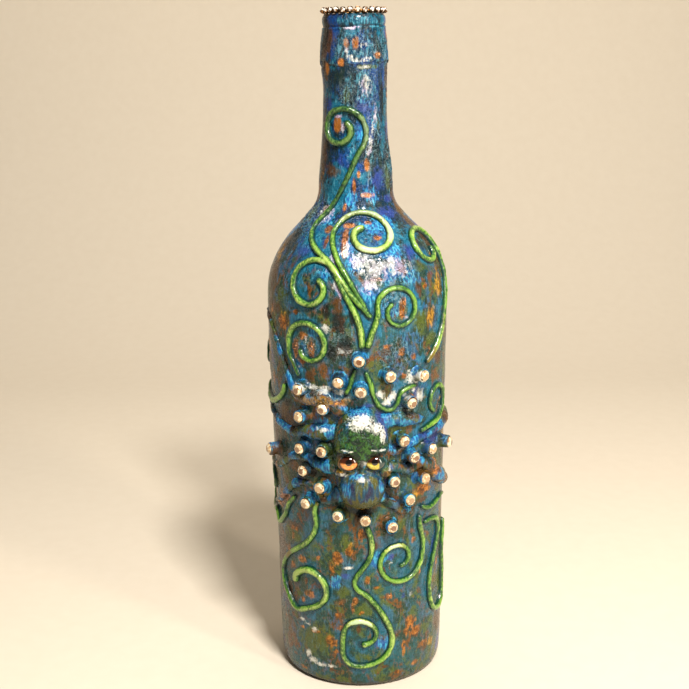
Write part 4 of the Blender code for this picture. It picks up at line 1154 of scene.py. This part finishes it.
routes = {name: on_sheet(stem) + curl(*bend) for name, (stem, bend) in CURLS.items()}
routes.update({name: on_sheet(stroke) for name, stroke in STROKES.items()})
scrolls = []
scroll_routes = []
spray_bm = bmesh.new()
for name, knots in routes.items():
    bm = rolled_strip(name, knots, SCROLL_WIDTH, SCROLL_HEIGHT, SCROLL_SINK)
    bm.normal_update()
    for vert in bm.verts:
        lump = noise.noise(vert.co / SCROLL_LUMP_SIZE) * SCROLL_LUMP
        lump += noise.noise(vert.co / SCROLL_DENT_SIZE) * SCROLL_DENT
        vert.co += vert.normal * lump
    scroll_routes.append((route_points(knots), SCROLL_WIDTH))
    if name in SPRAY:
        gathered(spray_bm, bm, Matrix.Identity(4))
        bm.free()
        continue
    bmesh.ops.recalc_face_normals(bm, faces=bm.faces)
    scrolls.append(part_of_bottle(mesh_object(f"rolled_{name}", bm, [lime]), "lime_clay", name))
bmesh.ops.recalc_face_normals(spray_bm, faces=spray_bm.faces)
spray = mesh_object("rolled_shoulder_spray", spray_bm, [lime])
scrolls.append(part_of_bottle(spray, "lime_clay", "shoulder_spray"))


# The dry clay is painted all over in slate, teal and blue, with umber and olive washes, dabs of copper
# and of pearl, and turquoise along the scrolls. The pearl dabs are also painted highlights and glints, and
# painted shade darkens the hollows, the creases and the clay under the brow, the chin and round the
# posts. A gloss varnish goes over everything.
# The dabs of each layer of paint, painted highlights and painted shade among them: bearing, height,
# half-width and half-height
DABS = {
    "copper": (
        (-14, 288, 1.6, 3.2), (2, 288, 2.2, 4.2), (42, 283, 3.1, 2.7), (-24, 280, 2.3, 2.5),
        (-32, 254, 2.5, 4.6), (18, 237, 1.8, 3.6), (-3, 228, 1, 5.2), (4, 233, 1, 2), (18, 224, 3.9, 2),
        (-56, 278, 2.2, 4.1), (-28, 210, 2.6, 2.3), (-26, 206, 1.4, 3.6), (-16, 219, 1.4, 3.1),
        (-44, 218, 2.9, 2), (-10, 206, 2.1, 9.2), (-7, 212, 4.2, 1.4), (18, 207, 2.5, 1.4),
        (12, 213, 2.4, 1.1), (12, 191, 5, 1.2), (30, 194, 4, 1.4), (32, 193, 1.2, 3.1),
        (47, 186, 2.4, 1.6), (28, 178, 2.4, 6.6), (18, 162, 3.4, 1.4), (27, 159, 2.4, 2.9),
        (36, 156, 2.4, 2.3), (-54, 170, 4.8, 5.2), (-42, 176, 2.2, 1.7), (-42, 160, 2.6, 7),
        (-36, 166, 4, 2.4), (-37, 155, 3, 2.6), (-30, 160.5, 2.6, 6.5), (51, 155, 3.4, 4.1),
        (-24, 134, 2.4, 1.4), (-12, 138, 2.8, 1.1), (46, 94, 6.1, 5.2), (-60, 88, 6.4, 3.1),
        (-68, 82, 4.1, 2), (-50, 74, 3.9, 1.7), (-16, 66, 2.2, 2.4), (0, 76, 1.5, 5.2),
        (38, 70, 1.6, 2.3), (34, 138, 2.6, 3.1), (29, 148, 2.4, 2), (-52, 70, 1.1, 3.4),
        (-44, 60, 4.4, 2.5), (-53, 55, 2.6, 2.5), (-30, 63, 1.5, 1.7), (-16, 64, 3.8, 4.2),
        (-20, 59, 2.4, 3.4), (4, 54, 1.4, 2.5), (10, 50, 2.2, 1.7), (18, 45, 4.6, 2.2),
        (-37, 44, 4.5, 2.8), (-44, 40, 1.8, 1.7), (-14, 42, 1.2, 2), (-17, 36, 1.2, 1.7),
        (-6, 40, 1, 3.8), (0, 38, 1.2, 1.3), (-45, 26, 1.8, 1.2), (-33, 26, 3.8, 1.3),
        (-21.5, 22.5, 4.2, 4.4), (-18, 18, 1.6, 1.3), (36, 30, 4.4, 4), (32, 26, 2.5, 3.4),
        (30, 18, 1.1, 6), (49, 16, 3.2, 2.5), (25, 6, 2.1, 1.6), (-54, 10, 2.1, 1.2), (-46, 5, 3.1, 1),
        (44, 53, 1.2, 2.5), (-66, 26, 1.8, 1.2), (66, 53, 2.1, 3.4), (58, 102, 5, 5), (-14, 30, 3, 2),
        (-4, 44, 2, 3), (-8, 68, 2.5, 3), (40, 24, 4, 4), (14, 58, 3, 2.5), (-58, 62, 3, 3),
        (40, 8, 3, 2), (-30, 56, 2, 2), (24, 52, 2.6, 3),
    ),
    "umber": (
        (-59, 292, 3, 5.1), (-62, 277, 2.7, 10.2), (-43, 234, 6.4, 5.1), (41, 185, 3.4, 5.1),
        (18, 160, 4.5, 3.4), (-61, 176, 5.3, 4.3), (-32, 148, 3.5, 4.3), (-12, 180, 4.4, 6),
        (-9, 161, 5.2, 4.3), (66, 182, 3.1, 5.1), (61, 152, 5.3, 5.1), (-56, 129, 10, 7),
        (-45, 128.5, 9, 7), (-50, 123.5, 8, 4), (-60, 86, 5, 5), (32, 130, 5, 1.5), (61, 97, 9, 9),
        (48, 96, 9, 10), (40, 103, 5, 6), (46, 88, 6.1, 2.6), (-20, 108, 1.8, 2.6), (-24, 92, 3.7, 1.7),
        (-2, 84, 3, 5.1), (22, 92, 4.6, 1.7), (-50, 75, 7.9, 3.4), (-33, 105, 4.1, 4.3),
        (-38, 130, 4.3, 3.4), (8, 70, 3.4, 4.3), (-2, 30, 1.4, 2.8), (50, 14, 5, 3.9), (16, 10, 3.7, 1.1),
        (-19, 8, 4.5, 1), (2, 76, 4.3, 2.8), (1, 90, 9, 3), (-50, 289, 6, 11), (-70, 60, 7, 20),
        (-72, 110, 6, 26), (-68, 240, 5, 16), (-70, 190, 8, 14), (-64, 284, 4, 14), (74, 210, 6, 30),
        (-60, 40, 9, 10), (-67, 109.5, 7, 7), (72, 110, 5, 6), (15.5, 106.5, 3, 3),
    ),
    "olive": (
        (58, 230, 3.2, 8.5), (42, 254, 1.6, 5.1), (-16, 266, 2.2, 5.1), (22, 278, 8.3, 1.7),
        (40, 172, 6.2, 7.7), (52, 162, 5.6, 5.1), (-34, 90, 4.1, 2.6), (-9, 71, 3.4, 4.3),
        (-10, 74, 2.2, 4.3), (-1, 40, 2.1, 2.5), (6, 38, 2.1, 2.1), (-33, 22, 15, 12),
        (-12, 48, 5.4, 4.5), (-11, 108.3, 2.6, 1.6), (14.5, 107.6, 3.2, 3), (14, 104, 3, 2.6),
        (-14, 104, 2.4, 2.4),
    ),
    "gold": (
        (-32, 137.5, 10, 3.8), (-21, 138, 9, 3.4), (-39, 139.5, 6, 3.4), (-11, 138, 6, 2.8),
        (16, 106, 4, 3.2), (2, 89.8, 6, 2), (-11, 107.6, 2.6, 1.8), (52, 172, 5, 7), (61, 185, 4, 7),
        (57, 14, 5, 4), (50, 96, 6, 7), (41, 92.5, 4, 4), (-53, 172, 5, 5), (-6, 70, 2, 4),
        (30, 138, 3, 3), (-24, 96, 2, 4), (54, 154, 3, 4),
    ),
    # Turquoise paint, and on the muzzle's top and the bridge of the nose a painted blue highlight
    "sky_blue_and_highlight": (
        (-18, 297, 7, 2.4), (4, 297, 7, 2.4), (26, 297, 7, 2.4), (42, 296.6, 4, 2.2), (-2, 284, 8, 5),
        (30, 284, 6, 5), (12, 249, 4, 5), (20, 270, 7, 9), (36, 256, 2.4, 9), (-10, 222, 5, 6),
        (22, 224, 5, 6), (27, 212, 8, 5), (14, 211, 8, 4), (-36, 214, 5, 4), (-1.5, 197, 7, 6),
        (24, 201, 9, 6), (7, 185, 9, 7), (-5, 204, 5, 5), (-15, 199, 4, 6), (21, 193, 10, 6),
        (33, 192, 7, 6), (-21, 193, 5, 4), (19, 178, 7, 5), (-29, 168, 5, 3), (-35.5, 161, 2, 4.5),
        (0, 134, 8, 3), (-26, 128, 6, 3), (20, 128, 6, 3), (-40, 152, 3, 5), (44, 140, 3, 6),
        (-1, 106.3, 4.5, 2.2), (11.5, 100, 2, 6), (-7.5, 100.5, 3.4, 5), (2, 111, 1.4, 1.8),
        (10, 64, 7, 6), (-18, 52, 5, 6), (16, 22, 5, 5),
    ),
    # Painted shade under the brows, the chin, the cheeks and the posts and in the hollows, with dark
    # patches of paint
    "painted_shade_and_dark_paint": (
        (-7.6, 116.2, 5, 1.8), (9.6, 116.2, 5, 1.8), (1, 111.5, 1.8, 3.5), (-37, 116, 5.5, 5.5),
        (-35.5, 106, 6.5, 6.5), (1, 87.5, 11, 3), (-16, 96, 3, 8), (18, 96, 3, 8), (-12, 150, 3, 2),
        (-62, 292, 4, 10), (56, 263, 2.2, 12), (-12, 106, 1.4, 3), (14, 105.6, 1.4, 3), (-30, 113, 6, 5),
        (27, 116, 3, 3), (-20, 132, 3, 2), (30, 133, 3, 2), (46, 145, 3, 2), (18, 146, 3, 2),
        (-52, 134, 5, 3), (-30, 86, 3, 3), (20, 76, 3, 3), (-66, 205, 6, 9), (-12, 173, 4, 7),
        (-8, 164, 4, 6), (-17, 160, 4, 6), (-4, 176, 2, 5), (-20, 178, 3, 5), (30, 108, 3, 3),
        (-44, 125, 4, 2),
    ),
    "muzzle": (
        (1, 99.8, 13.5, 12.5),
    ),
    "violet": (
        (16, 262, 6.2, 5.1), (38, 230, 6.5, 7.7), (-51, 262, 3.4, 5.1), (-26, 239, 2.8, 5.1),
        (8, 188, 5.2, 5.1), (-42, 202, 6.9, 3.4), (42, 216, 10.2, 3.4), (44, 201, 7.2, 5.1),
        (64, 222, 11.9, 2.6), (-16, 137, 2.7, 1.4), (54, 116, 13, 7), (24, 135, 5.6, 2.6),
        (38, 140, 4.3, 5.1), (-42, 100, 3.4, 5.1), (66, 68, 4.2, 5.1), (-10, 56, 3.6, 1.8),
        (30, 44, 2, 2.1), (12, 131, 4, 6), (30, 117, 8, 2.4), (44, 119, 8, 2.4), (20, 64, 3, 2.1),
        (60, 62, 4.2, 8.5), (-48, 16, 1.5, 1.8), (-74, 62, 4.7, 4.3), (10, 22, 2.2, 3.5),
        (6, 136, 6, 2.4), (14, 126, 2, 8),
    ),
    # Pearl paint that is mostly painted highlight and glint: dome, brows, lids, muzzle, arms, neck and
    # shoulder
    "pearl_and_highlight": (
        (20, 270, 4, 6.2), (38, 258, 1.3, 6.8), (26, 244, 1.4, 2.6), (-13, 284.5, 1.4, 2.6),
        (-8, 282.2, 2.4, 1.2), (1, 281, 3.2, 1.1), (12, 280.7, 3.4, 1.1), (22, 281.6, 2.8, 1.1),
        (-4, 294, 5.1, 1.3), (-41, 215.5, 5.6, 5), (-8, 203, 2.6, 5.1), (11, 195.5, 12, 8),
        (2, 198, 6, 6), (22, 197, 8, 4), (8, 189, 6, 6), (22, 180, 1.8, 1.2), (30, 174, 1.4, 1),
        (32, 155, 4, 0.9), (-34, 165, 1.4, 2.6), (-40, 152, 1.6, 1.2), (-9, 161, 4.3, 2.6),
        (13, 141, 3, 3), (18, 137.5, 3, 3), (22, 139.5, 3, 3.2), (28, 141, 3, 4), (32, 132, 4, 1),
        (38, 145, 2.1, 3.4), (-8, 60, 3, 1), (-40.5, 13.5, 2.4, 3.4), (-36, 10.8, 3.6, 2.2),
        (-30, 9.5, 4.6, 1.5), (-22, 10, 4, 1.4), (-45, 30, 3, 1.4), (-39.5, 28.3, 3, 1.4),
        (-34, 26.7, 3, 1.5), (36, 44, 1.1, 1.3), (20, 61, 0.9, 1.1), (1, 130.4, 7.6, 4.8),
        (8.4, 128, 4, 3.6), (12.6, 124.4, 1.9, 5.2), (-38, 144, 6, 2), (-30, 143.5, 6, 2),
        (-21, 143, 6, 2), (-12, 142, 5, 1.8), (-22, 125.6, 6, 1.2), (34, 147, 5, 5), (42, 138, 4, 5),
        (-22, 253, 1.4, 3.4), (-30, 257.5, 3, 1), (30, 194.5, 8, 5), (-17, 197, 4.6, 7),
        (-12.5, 192, 4.6, 7), (-8, 187, 4, 6), (36, 142, 3, 4), (14, 136, 7, 1.2), (-20, 170, 3, 3),
        (-1, 186, 2, 4), (7.2, 118.7, 1.7, 0.7), (11, 118.5, 2.4, 0.8), (-7.8, 118.7, 1.6, 0.6),
        (-4.8, 118.2, 1.4, 0.5), (1.6, 112.2, 2.4, 2.2), (-11, 106.4, 4.2, 1.4), (17.2, 108.3, 1.9, 1.9),
        (14, 287, 3.6, 1.5), (0.5, 105.4, 3.6, 1.9), (37, 257, 1.4, 5), (32, 252, 1.3, 4),
        (27, 247, 1.4, 4), (21.5, 242, 1.4, 4), (18, 278, 5, 1.2),
    ),
    "moss": (
        (1, 122, 9.5, 11), (1, 116, 8, 6), (14, 104, 3.4, 3),
    ),
}
# Where the tops of the scrolls are golden, and where they are pale, their painted highlight mint there
GOLDEN_DABS = (
    (48, 153, 14, 12), (-56, 60, 5, 5), (-45, 150, 3, 6), (-25, 90, 4, 6), (62, 172, 4, 8),
)
PALE_AND_SHEEN_DABS = (
    (8, 216, 22, 3.5), (16, 252, 4, 10), (30, 210, 8, 7), (6, 202, 10, 4), (-25, 197, 3, 2.4),
    (20, 70, 10, 4), (0, 34, 10, 4),
)
# Round the back the layers carry on as scattered patches: their size, and how sparse they are
WILD_DABS = {
    "copper": (5, 0.34),
    "umber": (13, 0.16),
    "olive": (11, 0.24),
    "violet": (10, 0.18),
    "pearl_and_highlight": (6, 0.6),
    "gold": (9, 0.3),
    "sky_blue_and_highlight": (12, 0.3),
    "painted_shade_and_dark_paint": (8, 0.42),
}
WILD_FROM = 58
WILD_FULL = 74
WILD_SHIFT = (31.7, 5.3, 11.9)
WILD_STRETCH = 0.7
WILD_GAIN = 2.2
HALO_REACH = 6.5
# How far the painted contact shade reaches out from a strip or post
CONTACT_SHADE_REACH = 1.1
# The blue wash over the posts and the arms is thinner low down
WASH_SIZE = 5.0
POST_WASH = 0.32
ARM_WASH = 0.38
LOW_WASH_BELOW = 122
LOW_WASH_FADE = 12
LOW_WASH_LOSS = 0.3


def wild(points, layer_number, size, level):
    """Scattered patches for the sides and the back, each layer's in its own places."""
    along, *rest = WILD_SHIFT
    shift = Vector((along * layer_number, *rest))
    return np.array([
        WILD_GAIN * (noise.noise(Vector((x, y, z * WILD_STRETCH)) / size + shift) - level)
        for x, y, z in points
    ])


def nearness(routes, points, reach):
    """1 at the edge of the nearest strip, falling to 0 at a reach away from it."""
    count = sum(len(route) for route, width in routes)
    tree = kdtree.KDTree(count)
    widths = []
    for route, width in routes:
        for x, y, z, thickness in route:
            tree.insert((x, y, z), len(widths))
            widths.append(width / 2 * thickness * math.hypot(x, y) / SHEET_RADIUS)
    tree.balance()
    near = []
    for point in points:
        _, index, away = tree.find(point)
        near.append(1 - (away - widths[index]) / reach)
    return np.clip(near, 0, 1)


def brushed_on(piece, name, values):
    """Stores one value for each vertex of a piece."""
    layer = piece.data.attributes.new(name, "FLOAT", "POINT")
    layer.data.foreach_set("value", np.asarray(values, np.float32))


def points_of(piece):
    """The piece's vertices in millimetres."""
    points = np.empty(len(piece.data.vertices) * 3)
    piece.data.vertices.foreach_get("co", points)
    return points.reshape(-1, 3) / MM


RIDGE_GAIN = 9.0
RIDGE_SPREAD = 2
RIDGE_GROUND = 18


def ridges(piece):
    """How far each place stands proud of what is round it: above 0 on a ridge, below it in a crease."""
    mesh = piece.data
    points = points_of(piece)
    normals = np.empty(len(points) * 3)
    mesh.vertices.foreach_get("normal", normals)
    normals = normals.reshape(-1, 3)
    edges = np.empty(len(mesh.edges) * 2, int)
    mesh.edges.foreach_get("vertices", edges)
    first, second = edges.reshape(-1, 2).T
    gaps = points[second] - points[first]
    gaps /= np.linalg.norm(gaps, axis=1, keepdims=True)
    count = np.bincount(edges, minlength=len(points))
    drop = np.bincount(second, (gaps * normals[second]).sum(1), len(points))
    drop -= np.bincount(first, (gaps * normals[first]).sum(1), len(points))
    proud = drop / count
    for turn in range(RIDGE_GROUND):
        around = np.bincount(first, proud[second], len(points))
        around += np.bincount(second, proud[first], len(points))
        proud = (proud + around / count) / 2
        if turn + 1 == RIDGE_SPREAD:
            fine = proud
    return fine - proud


# Where the posts' feet meet the clay, for the painted contact shade round them
POST_FOOT_HEIGHT = 0.4
POST_FOOT_WIDTH = 2 * POST_ROWS[2][1]
foot_points = np.array([stud_place(*stud) @ Vector((0, 0, POST_FOOT_HEIGHT)) for stud in STUDS])
stud_routes = [(np.column_stack([foot_points, np.ones(len(STUDS))]), POST_FOOT_WIDTH)]


def paint_clay(piece, scrolls_near=True, washed=0.0):
    """Brushes every layer of paint onto a piece of clay, as values on its vertices."""
    brushed_on(piece, "ridge", np.clip(RIDGE_GAIN * ridges(piece), -1, 1))
    points = points_of(piece)
    bearings, heights = places_of(points)
    turned_away = np.clip((np.abs(bearings) - WILD_FROM) / (WILD_FULL - WILD_FROM), 0, 1)
    for number, (layer, marks) in enumerate(DABS.items()):
        placed = covered(marks, bearings, heights)
        if layer == "sky_blue_and_highlight" and washed:
            low = np.clip((LOW_WASH_BELOW - heights) / LOW_WASH_FADE, 0, 1)
            wash = washed + wild(points, number, WASH_SIZE, 0) - LOW_WASH_LOSS * low
            placed = np.maximum(placed, wash * (1 - turned_away))
        if layer in WILD_DABS:
            placed = np.maximum(placed, wild(points, number, *WILD_DABS[layer]) * turned_away)
        brushed_on(piece, layer, placed)
    brushed_on(piece, "crumple", crumpled(bearings, heights))
    brushed_on(piece, "halo", nearness(scroll_routes, points, HALO_REACH))
    # Painted contact shade: nearness to the scrolls, and to the arms and posts where they count
    edges = [*scroll_routes, *arm_routes, *stud_routes] if scrolls_near else scroll_routes
    brushed_on(piece, "crease", nearness(edges, points, CONTACT_SHADE_REACH))


paint_clay(skin)
paint_clay(posts, False, POST_WASH)
paint_clay(head, False)
for arm in arms:
    paint_clay(arm, False, ARM_WASH)
for scroll in scrolls:
    bearings, heights = places_of(points_of(scroll))
    brushed_on(scroll, "pale_paint_and_sheen", covered(PALE_AND_SHEEN_DABS, bearings, heights))
    brushed_on(scroll, "golden", covered(GOLDEN_DABS, bearings, heights))


# The finish of the painted clay, from the ground up: washes, then layers of dabs, strokes, painted
# highlights and painted shadows
BRISTLE_DEPTH = 0.20
varnish = {"IOR": 1.5, "Specular IOR Level": 0.27, "Coat Weight": 0.2, "Coat Roughness": 0.06}
clay = Finish("painted_varnished_clay", varnish)
bristles = clay.grain(0.8, stretch=(1, 1, 3.6), detail=4)
dabbing = clay.grain(1.9, detail=5, distortion=0.6)
clouds = clay.grain(16, stretch=(1, 1, 1.4), detail=5, distortion=1.0)
drift = clay.grain(9, stretch=(1, 1, 1.8), detail=5, distortion=1.0)
mottle = clay.grain(7, stretch=(1, 1, 1.6), detail=5, distortion=1.2)
washes = clay.grain(11, stretch=(1, 1, 1.2), detail=5, distortion=1.4)
streaks = clay.grain(2.2, stretch=(1, 1, 7), detail=4, distortion=0.3)
smears = clay.grain(3.4, stretch=(1, 1, 2.2), detail=5, distortion=0.8)
crinkle = clay.grain(1.5, detail=2, distortion=1.4)
creases = 1 - 5 * clay.node("ShaderNodeMath", {"operation": "ABSOLUTE"}, {0: crinkle - 0.5})
wear = 0.4 * (bristles - 0.5) + 0.4 * (dabbing - 0.5)
rough_edge = 1.1 * (bristles - 0.5) + 0.9 * (dabbing - 0.5) + 2.2 * (smears - 0.5)
up = clay.height()
ridge = clay.brushed("ridge")
crumple = clay.brushed("crumple")

slate = clay.mix((clouds + wear).within(0.40, 0.60), paint(28, 58, 44), paint(24, 82, 90))
taupe = clay.mix((mottle + wear).within(0.48, 0.62), slate, paint(106, 66, 26))
mossy = clay.mix((washes + wear).within(0.49, 0.63) * 0.85, taupe, paint(74, 90, 30))
blues = clay.mix(up.within(84, 100), paint(50, 80, 106), paint(26, 84, 132))
body = clay.mix((drift + wear).within(0.51, 0.66) * 0.8, mossy, blues)
deep = clay.mix((clouds + wear).within(0.40, 0.60), paint(10, 40, 56), paint(18, 64, 130))
tealed = clay.mix((drift + wear).within(0.46, 0.64) * 0.9, deep, paint(14, 96, 122))
neck = clay.mix((streaks + wear).within(0.50, 0.64) * 0.8, tealed, paint(24, 42, 34))
ground = clay.mix((up + 26 * (clouds - 0.5)).within(184, 214), body, neck)


def over(below, layer, low, high, share, tone):
    """A layer of paint over what is below it, with a ragged edge."""
    laid = clay.brushed(layer)
    cover = (1.6 * laid + rough_edge * laid.within(0, 0.25)).within(low, high)
    return clay.mix(cover * share, below, tone)


# Turquoise along the scrolls, then the dabbed layers from the lowest to the highest
halo_cover = (clay.brushed("halo") + 2.2 * (drift - 0.5) + wear).within(0.45, 0.95)
halo = clay.mix(halo_cover * (0.42 + 0.3 * up.within(110, 170)), ground, paint(18, 104, 132))
violet = over(halo, "violet", 0.2, 1.3, 0.8, paint(42, 62, 136))
olive = over(violet, "olive", 0.3, 0.9, 0.85, paint(74, 88, 26))
umber = over(olive, "umber", 0.3, 1.0, 0.9, paint(80, 50, 16))
green = clay.mix(dabbing.within(0.44, 0.60), paint(12, 40, 22), paint(50, 90, 34))
moss = over(umber, "moss", 0.1, 0.5, 1.0, green)
cool = clay.mix(streaks.within(0.36, 0.50), paint(36, 34, 66), paint(10, 66, 90))
low_olive = 0.7 * (1 - up.within(88, 98))
warm = clay.mix((streaks + 0.4 * (drift - 0.5) + low_olive).within(0.48, 0.60), cool, paint(80, 80, 28))
muzzle = over(moss, "muzzle", 0.1, 0.5, 0.95, warm)
# Turquoise paint, doubling as painted highlight on the muzzle and nose
sky_blue_and_highlight_tones = clay.mix(bristles.within(0.45, 0.62), paint(18, 92, 160), paint(60, 164, 200))
collar = clay.mix(bristles.within(0.45, 0.62), paint(14, 74, 100), paint(74, 144, 166))
sky_blue_and_highlight = over(muzzle, "sky_blue_and_highlight", 0.3, 1.0, 0.85, clay.mix(up.within(260, 276), sky_blue_and_highlight_tones, collar))
daubs = dabbing + 0.5 * (bristles - 0.5)
gold_tone = clay.mix(daubs.within(0.36, 0.64), paint(104, 72, 10), paint(190, 138, 34))
gold = over(sky_blue_and_highlight, "gold", 0.2, 1.3, 0.9, gold_tone)
lit_strokes = (bristles + 0.25 * ridge + 0.5 * (drift - 0.5)).within(0.58, 0.74)
busy = 0.45 + 0.55 * up.within(120, 190)
gilding = clay.brushed("gold").within(0, 0.3)
earthy = clay.brushed("umber").within(0.1, 0.6)
stroke_share = 0.42 * busy * (1 - 0.8 * gilding) * (1 - 0.6 * earthy)
stroked = clay.mix(lit_strokes * stroke_share, gold, paint(86, 160, 180))
low_strokes = (0.5 - dabbing + 0.5 * (0.5 - bristles)).within(0.02, 0.16)
worn = clay.mix(low_strokes * 0.38 * busy, stroked, paint(8, 20, 24))
low_copper = clay.mix(daubs.within(0.38, 0.66), paint(108, 60, 14), paint(196, 122, 46))
copper_tone = clay.mix(up.within(200, 290) * 0.6, low_copper, paint(232, 146, 60))
coppered = clay.brushed("copper")
copper_cover = (1.9 * coppered + rough_edge * coppered.within(0, 0.25)).within(0.2, 1.1)
streaked = (bristles + 0.6 * (dabbing - 0.5)).within(0.46, 0.60) * up.within(190, 210)
copper_share = (0.75 + 0.2 * up.within(70, 110)) * (1 - 0.35 * streaked)
copper = clay.mix(copper_cover * copper_share, worn, copper_tone)
# Pearl paint and painted highlights, broken up along ridges and creases, lilac on the shoulder
pearl_and_highlight_laid = clay.brushed("pearl_and_highlight")
pearl_and_highlight_marks = 0.5 * ridge + 0.9 * creases + 1.3 * rough_edge
firm = pearl_and_highlight_laid * (1 - up.within(135, 150))
pearl_and_highlight_edge = pearl_and_highlight_marks * pearl_and_highlight_laid.within(0, 0.25) * (1 - 0.75 * firm)
pearl_and_highlight_cover = (1.6 * pearl_and_highlight_laid + 0.6 * firm + pearl_and_highlight_edge).within(0.9, 2.0)
lilac = drift.within(0.40, 0.60) * up.within(150, 185)
pearl_and_highlight_tone = clay.mix(lilac, paint(226, 226, 218), paint(196, 174, 208))
pearl_and_highlight = clay.mix(pearl_and_highlight_cover * 0.85, copper, pearl_and_highlight_tone)
# Painted highlights along the creases of the crumpled clay
crease_highlights = (creases + 0.6 * (bristles - 0.5)).within(0.66, 0.95) * crumple
crease_highlighted = clay.mix(crease_highlights * 0.4, pearl_and_highlight, paint(140, 170, 178))
# Near-black painted shade under the brows, chin and posts and in hollows, and dark paint
painted_shade_and_dark_paint = over(crease_highlighted, "painted_shade_and_dark_paint", 0.3, 0.9, 0.85, paint(14, 20, 20))
# Painted shade in the hollows and creases of the clay
hollow_shade = (0 - ridge + 0.8 * wear).within(0.15, 0.8)
shaded = clay.mix(hollow_shade * 0.6, painted_shade_and_dark_paint, paint(18, 18, 22))
# Painted contact shade beside the scrolls, the arms and the feet of the posts
contact_shaded = clay.mix(clay.brushed("crease").within(0.3, 1.0) * 0.6, shaded, paint(8, 20, 26))
# Darker brown along the foot: partly the foot's dark line, partly painted contact shade
foot_line_and_shade = 1 - (up + 3 * (dabbing - 0.5)).within(1.2, 3.4)
relief = 0.7 * bristles + 1.2 * dabbing + (0.7 + 2.0 * crumple) * creases
clay.feed({
    "Base Color": clay.mix(foot_line_and_shade * 0.7, contact_shaded, paint(44, 26, 18)),
    "Roughness": 0.10 + 0.3 * dabbing,
    "Metallic": 0.4 * copper_cover + 0.2 * pearl_and_highlight_cover,
    "Normal": clay.bump(relief, BRISTLE_DEPTH, 1.0),
})

for piece in (skin, posts, head, *arms):
    piece.data.materials.append(clay.material)
